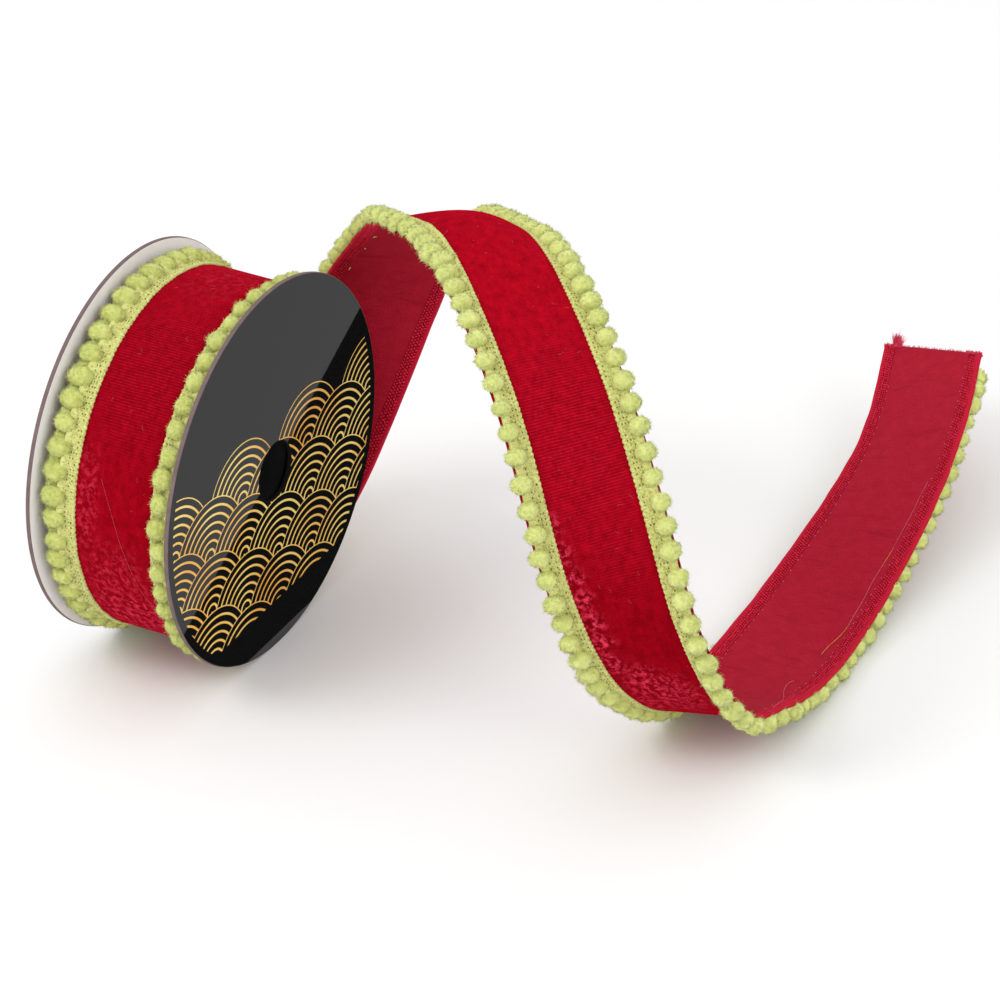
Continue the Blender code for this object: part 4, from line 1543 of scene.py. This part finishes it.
def thick_fray():
    """Whole yarns: some in the wisp, shorter towards its sides, and more near both corners."""
    local = np.random.default_rng(39)
    wisp = local.normal(0.0, 0.0007, YARNS_IN_WISP)
    near_back = local.uniform(-FRAY_HALF, -0.0180, YARNS_BY_CORNER)
    near_front = local.uniform(0.0190, FRAY_HALF, YARNS_BY_CORNER)
    across = np.concatenate((LONG_FRAY_PLACE + wisp, near_back, near_front))
    shorter = 1.0 - np.abs(wisp) / 0.0045
    wisp_reach = LONG_FRAY_REACH * shorter * local.uniform(0.75, 1.0, YARNS_IN_WISP)
    back_reach = local.uniform(0.0002, 0.0018, YARNS_BY_CORNER)
    front_reach = local.uniform(0.0002, 0.0019, YARNS_BY_CORNER)
    reach = np.concatenate((wisp_reach, back_reach, front_reach))
    return frayed_routes(local, across, reach, 0.16)


fray = thread_mesh("frayed_end", fine_fray(), FINE_FRAY_RADIUS, frayed_yarn, taper=True)
clump = thread_mesh("frayed_clumps", thick_fray(), THICK_FRAY_RADIUS, frayed_yarn, taper=True)
print("fray", len(fray.data.polygons) + len(clump.data.polygons), "faces")

# %% Single loose threads
LOOSE_THREADS = {
    # height over the cloth's middle, radius and finish, then distances and places across, all in mm
    "stray_hair": (
        (0.75, 0.045, hair_fibre),
        ((-191, -7.0), (-179, -1.5), (-165, 3.5), (-152, 7.5), (-138, 12.0), (-128, 17.0)),
    ),
    "loose_yellow_thread": (
        (-0.9, 0.10, gold_thread),
        ((651, 17.0), (655, 17.0), (661, 17.6), (668, 18.9), (676, 19.5)),
    ),
    "loose_yellow_thread_tip": (
        (-0.9, 0.10, gold_thread),
        ((722, 18.4), (726, 18.7), (730, 18.8)),
    ),
    "seam_thread_line": (
        (-0.7, 0.07, pale_thread),
        ((676, 19.5), (686, 18.9), (697, 18.7), (709, 18.1), (722, 18.4)),
    ),
    "seam_thread_end": (
        (-0.7, 0.05, pale_thread),
        ((730, 18.8), (737, 18.6), (743, 18.8), (760, 19.0), (775, 19.6)),
    ),
    "loose_seam_loop": (
        (-1.0, 0.06, pale_thread),
        (
            (579, 27.5),
            (587, 23.5),
            (598, 21.3),
            (606, 18.6),
            (611, 16.6),
            (617, 15.1),
            (621, 15.1),
            (623, 16.0),
        ),
    ),
}


def single_thread(name, lie, places):
    """One thread that lies on the cloth along a smooth line through the places."""
    height, radius, material = lie
    places = np.array(places) * MM
    knots = np.arange(len(places), dtype=float)
    fine = np.linspace(0.0, len(places) - 1.0, 8 * len(places))
    route = natural_spline(knots, places, fine)[0]
    points = on_ribbon(route[:, :1], route[:, 1:], np.full((1, 1), height * MM))
    return thread_mesh(name, points[None], radius * MM, material)


loose_threads = [single_thread(name, *rows) for name, rows in LOOSE_THREADS.items()]
print(len(loose_threads), "loose threads")

# %% Lint on the velvet, and ends of lime yarn on the back
LINT = 120
LINT_LEVEL = 0.00072
LINT_ALONG, LINT_ACROSS = (-0.50, 0.60), (-0.018, 0.018)
LINT_LENGTHS, LINT_BEND, LINT_RADIUS = (0.0006, 0.0026), 0.0004, 0.000035
# distances and places across of the lime yarn's ends
LIME_ENDS = ((0.186, -0.0196), (0.172, -0.0203), (0.153, -0.0206))
THREADS_AT_END = 9
LIME_LENGTHS, LIME_RADIUS = (0.0004, 0.0012), 0.00014
LIME_LEVEL, LIME_DROOP, LIME_TINT = -0.0008, 0.35, 0.8


def lint_routes():
    """Short bent fibres that lie on the velvet any way round."""
    local = np.random.default_rng(41)
    middle = local.uniform(*LINT_ALONG, (LINT, 1))
    across = local.uniform(*LINT_ACROSS, (LINT, 1))
    heading = local.uniform(0.0, math.pi, (LINT, 1))
    share = np.linspace(-0.5, 0.5, 4)
    long = local.uniform(*LINT_LENGTHS, (LINT, 1)) * share
    bend = local.normal(0.0, LINT_BEND, (LINT, 1)) * (4.0 * share**2)
    distance = middle + long * np.cos(heading) - bend * np.sin(heading)
    beside = across + long * np.sin(heading) + bend * np.cos(heading)
    return on_ribbon(distance, beside, np.full(4, LINT_LEVEL)).reshape(-1, 4, 3)


def wisp_routes():
    """Ends of the lime yarn that the seam pulled through to the plain back."""
    local = np.random.default_rng(43)
    places = np.repeat(np.array(LIME_ENDS), THREADS_AT_END, axis=0)
    heading = local.uniform(0.0, 2.0 * math.pi, (len(places), 1))
    long = local.uniform(*LIME_LENGTHS, (len(places), 1)) * np.linspace(0.0, 1.0, 4)
    distance = places[:, :1] + long * np.cos(heading)
    across = places[:, 1:] + long * np.sin(heading)
    return on_ribbon(distance, across, LIME_LEVEL - long * LIME_DROOP).reshape(-1, 4, 3)


lint = thread_mesh("velvet_lint", lint_routes(), LINT_RADIUS, hair_fibre)
wisps = thread_mesh("lime_wisps", wisp_routes(), LIME_RADIUS, lime_pile)
store(wisps, "tint", np.full(len(wisps.data.vertices), LIME_TINT))
threads = (overlock, seam_dots, fray, clump, *loose_threads, lint)
small_pieces = [(piece, "red_velvet") for piece in threads] + [(wisps, "lime_yarn")]
print(len(small_pieces), "small pieces")

# %% [markdown]
# ## What each piece stands for
# Each visible piece is attached to the model's body, and the solids it replaces are hidden. The
# ribbon is a sheet of cloth, and the tape and pompoms sewn on it go with it.

# %% Attach the pieces and hide the solids they replace
MODEL_BODY = "root"


def stands_for(piece, finish, *nodes):
    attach(piece, MODEL_BODY)
    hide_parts(*nodes)


stands_for(ribbon, "red_velvet", "ribbon_tail", "ribbon_roll")
stands_for(wound_turns, "red_velvet", "ribbon_roll")
stands_for(disc_front, "black_card", "flange_front")
stands_for(disc_back, "white_card", "flange_back")
for (place, side_name), tape in tapes.items():
    stands_for(tape, "lime_yarn", f"trim_{place}_{side_name}")
for (place, side_name), group in pompoms.items():
    stretch = "tail" if place == "tail" else "roll"
    stands_for(group, "lime_yarn", f"trim_{stretch}_{side_name}")
for piece, finish in small_pieces:
    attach(piece, MODEL_BODY)
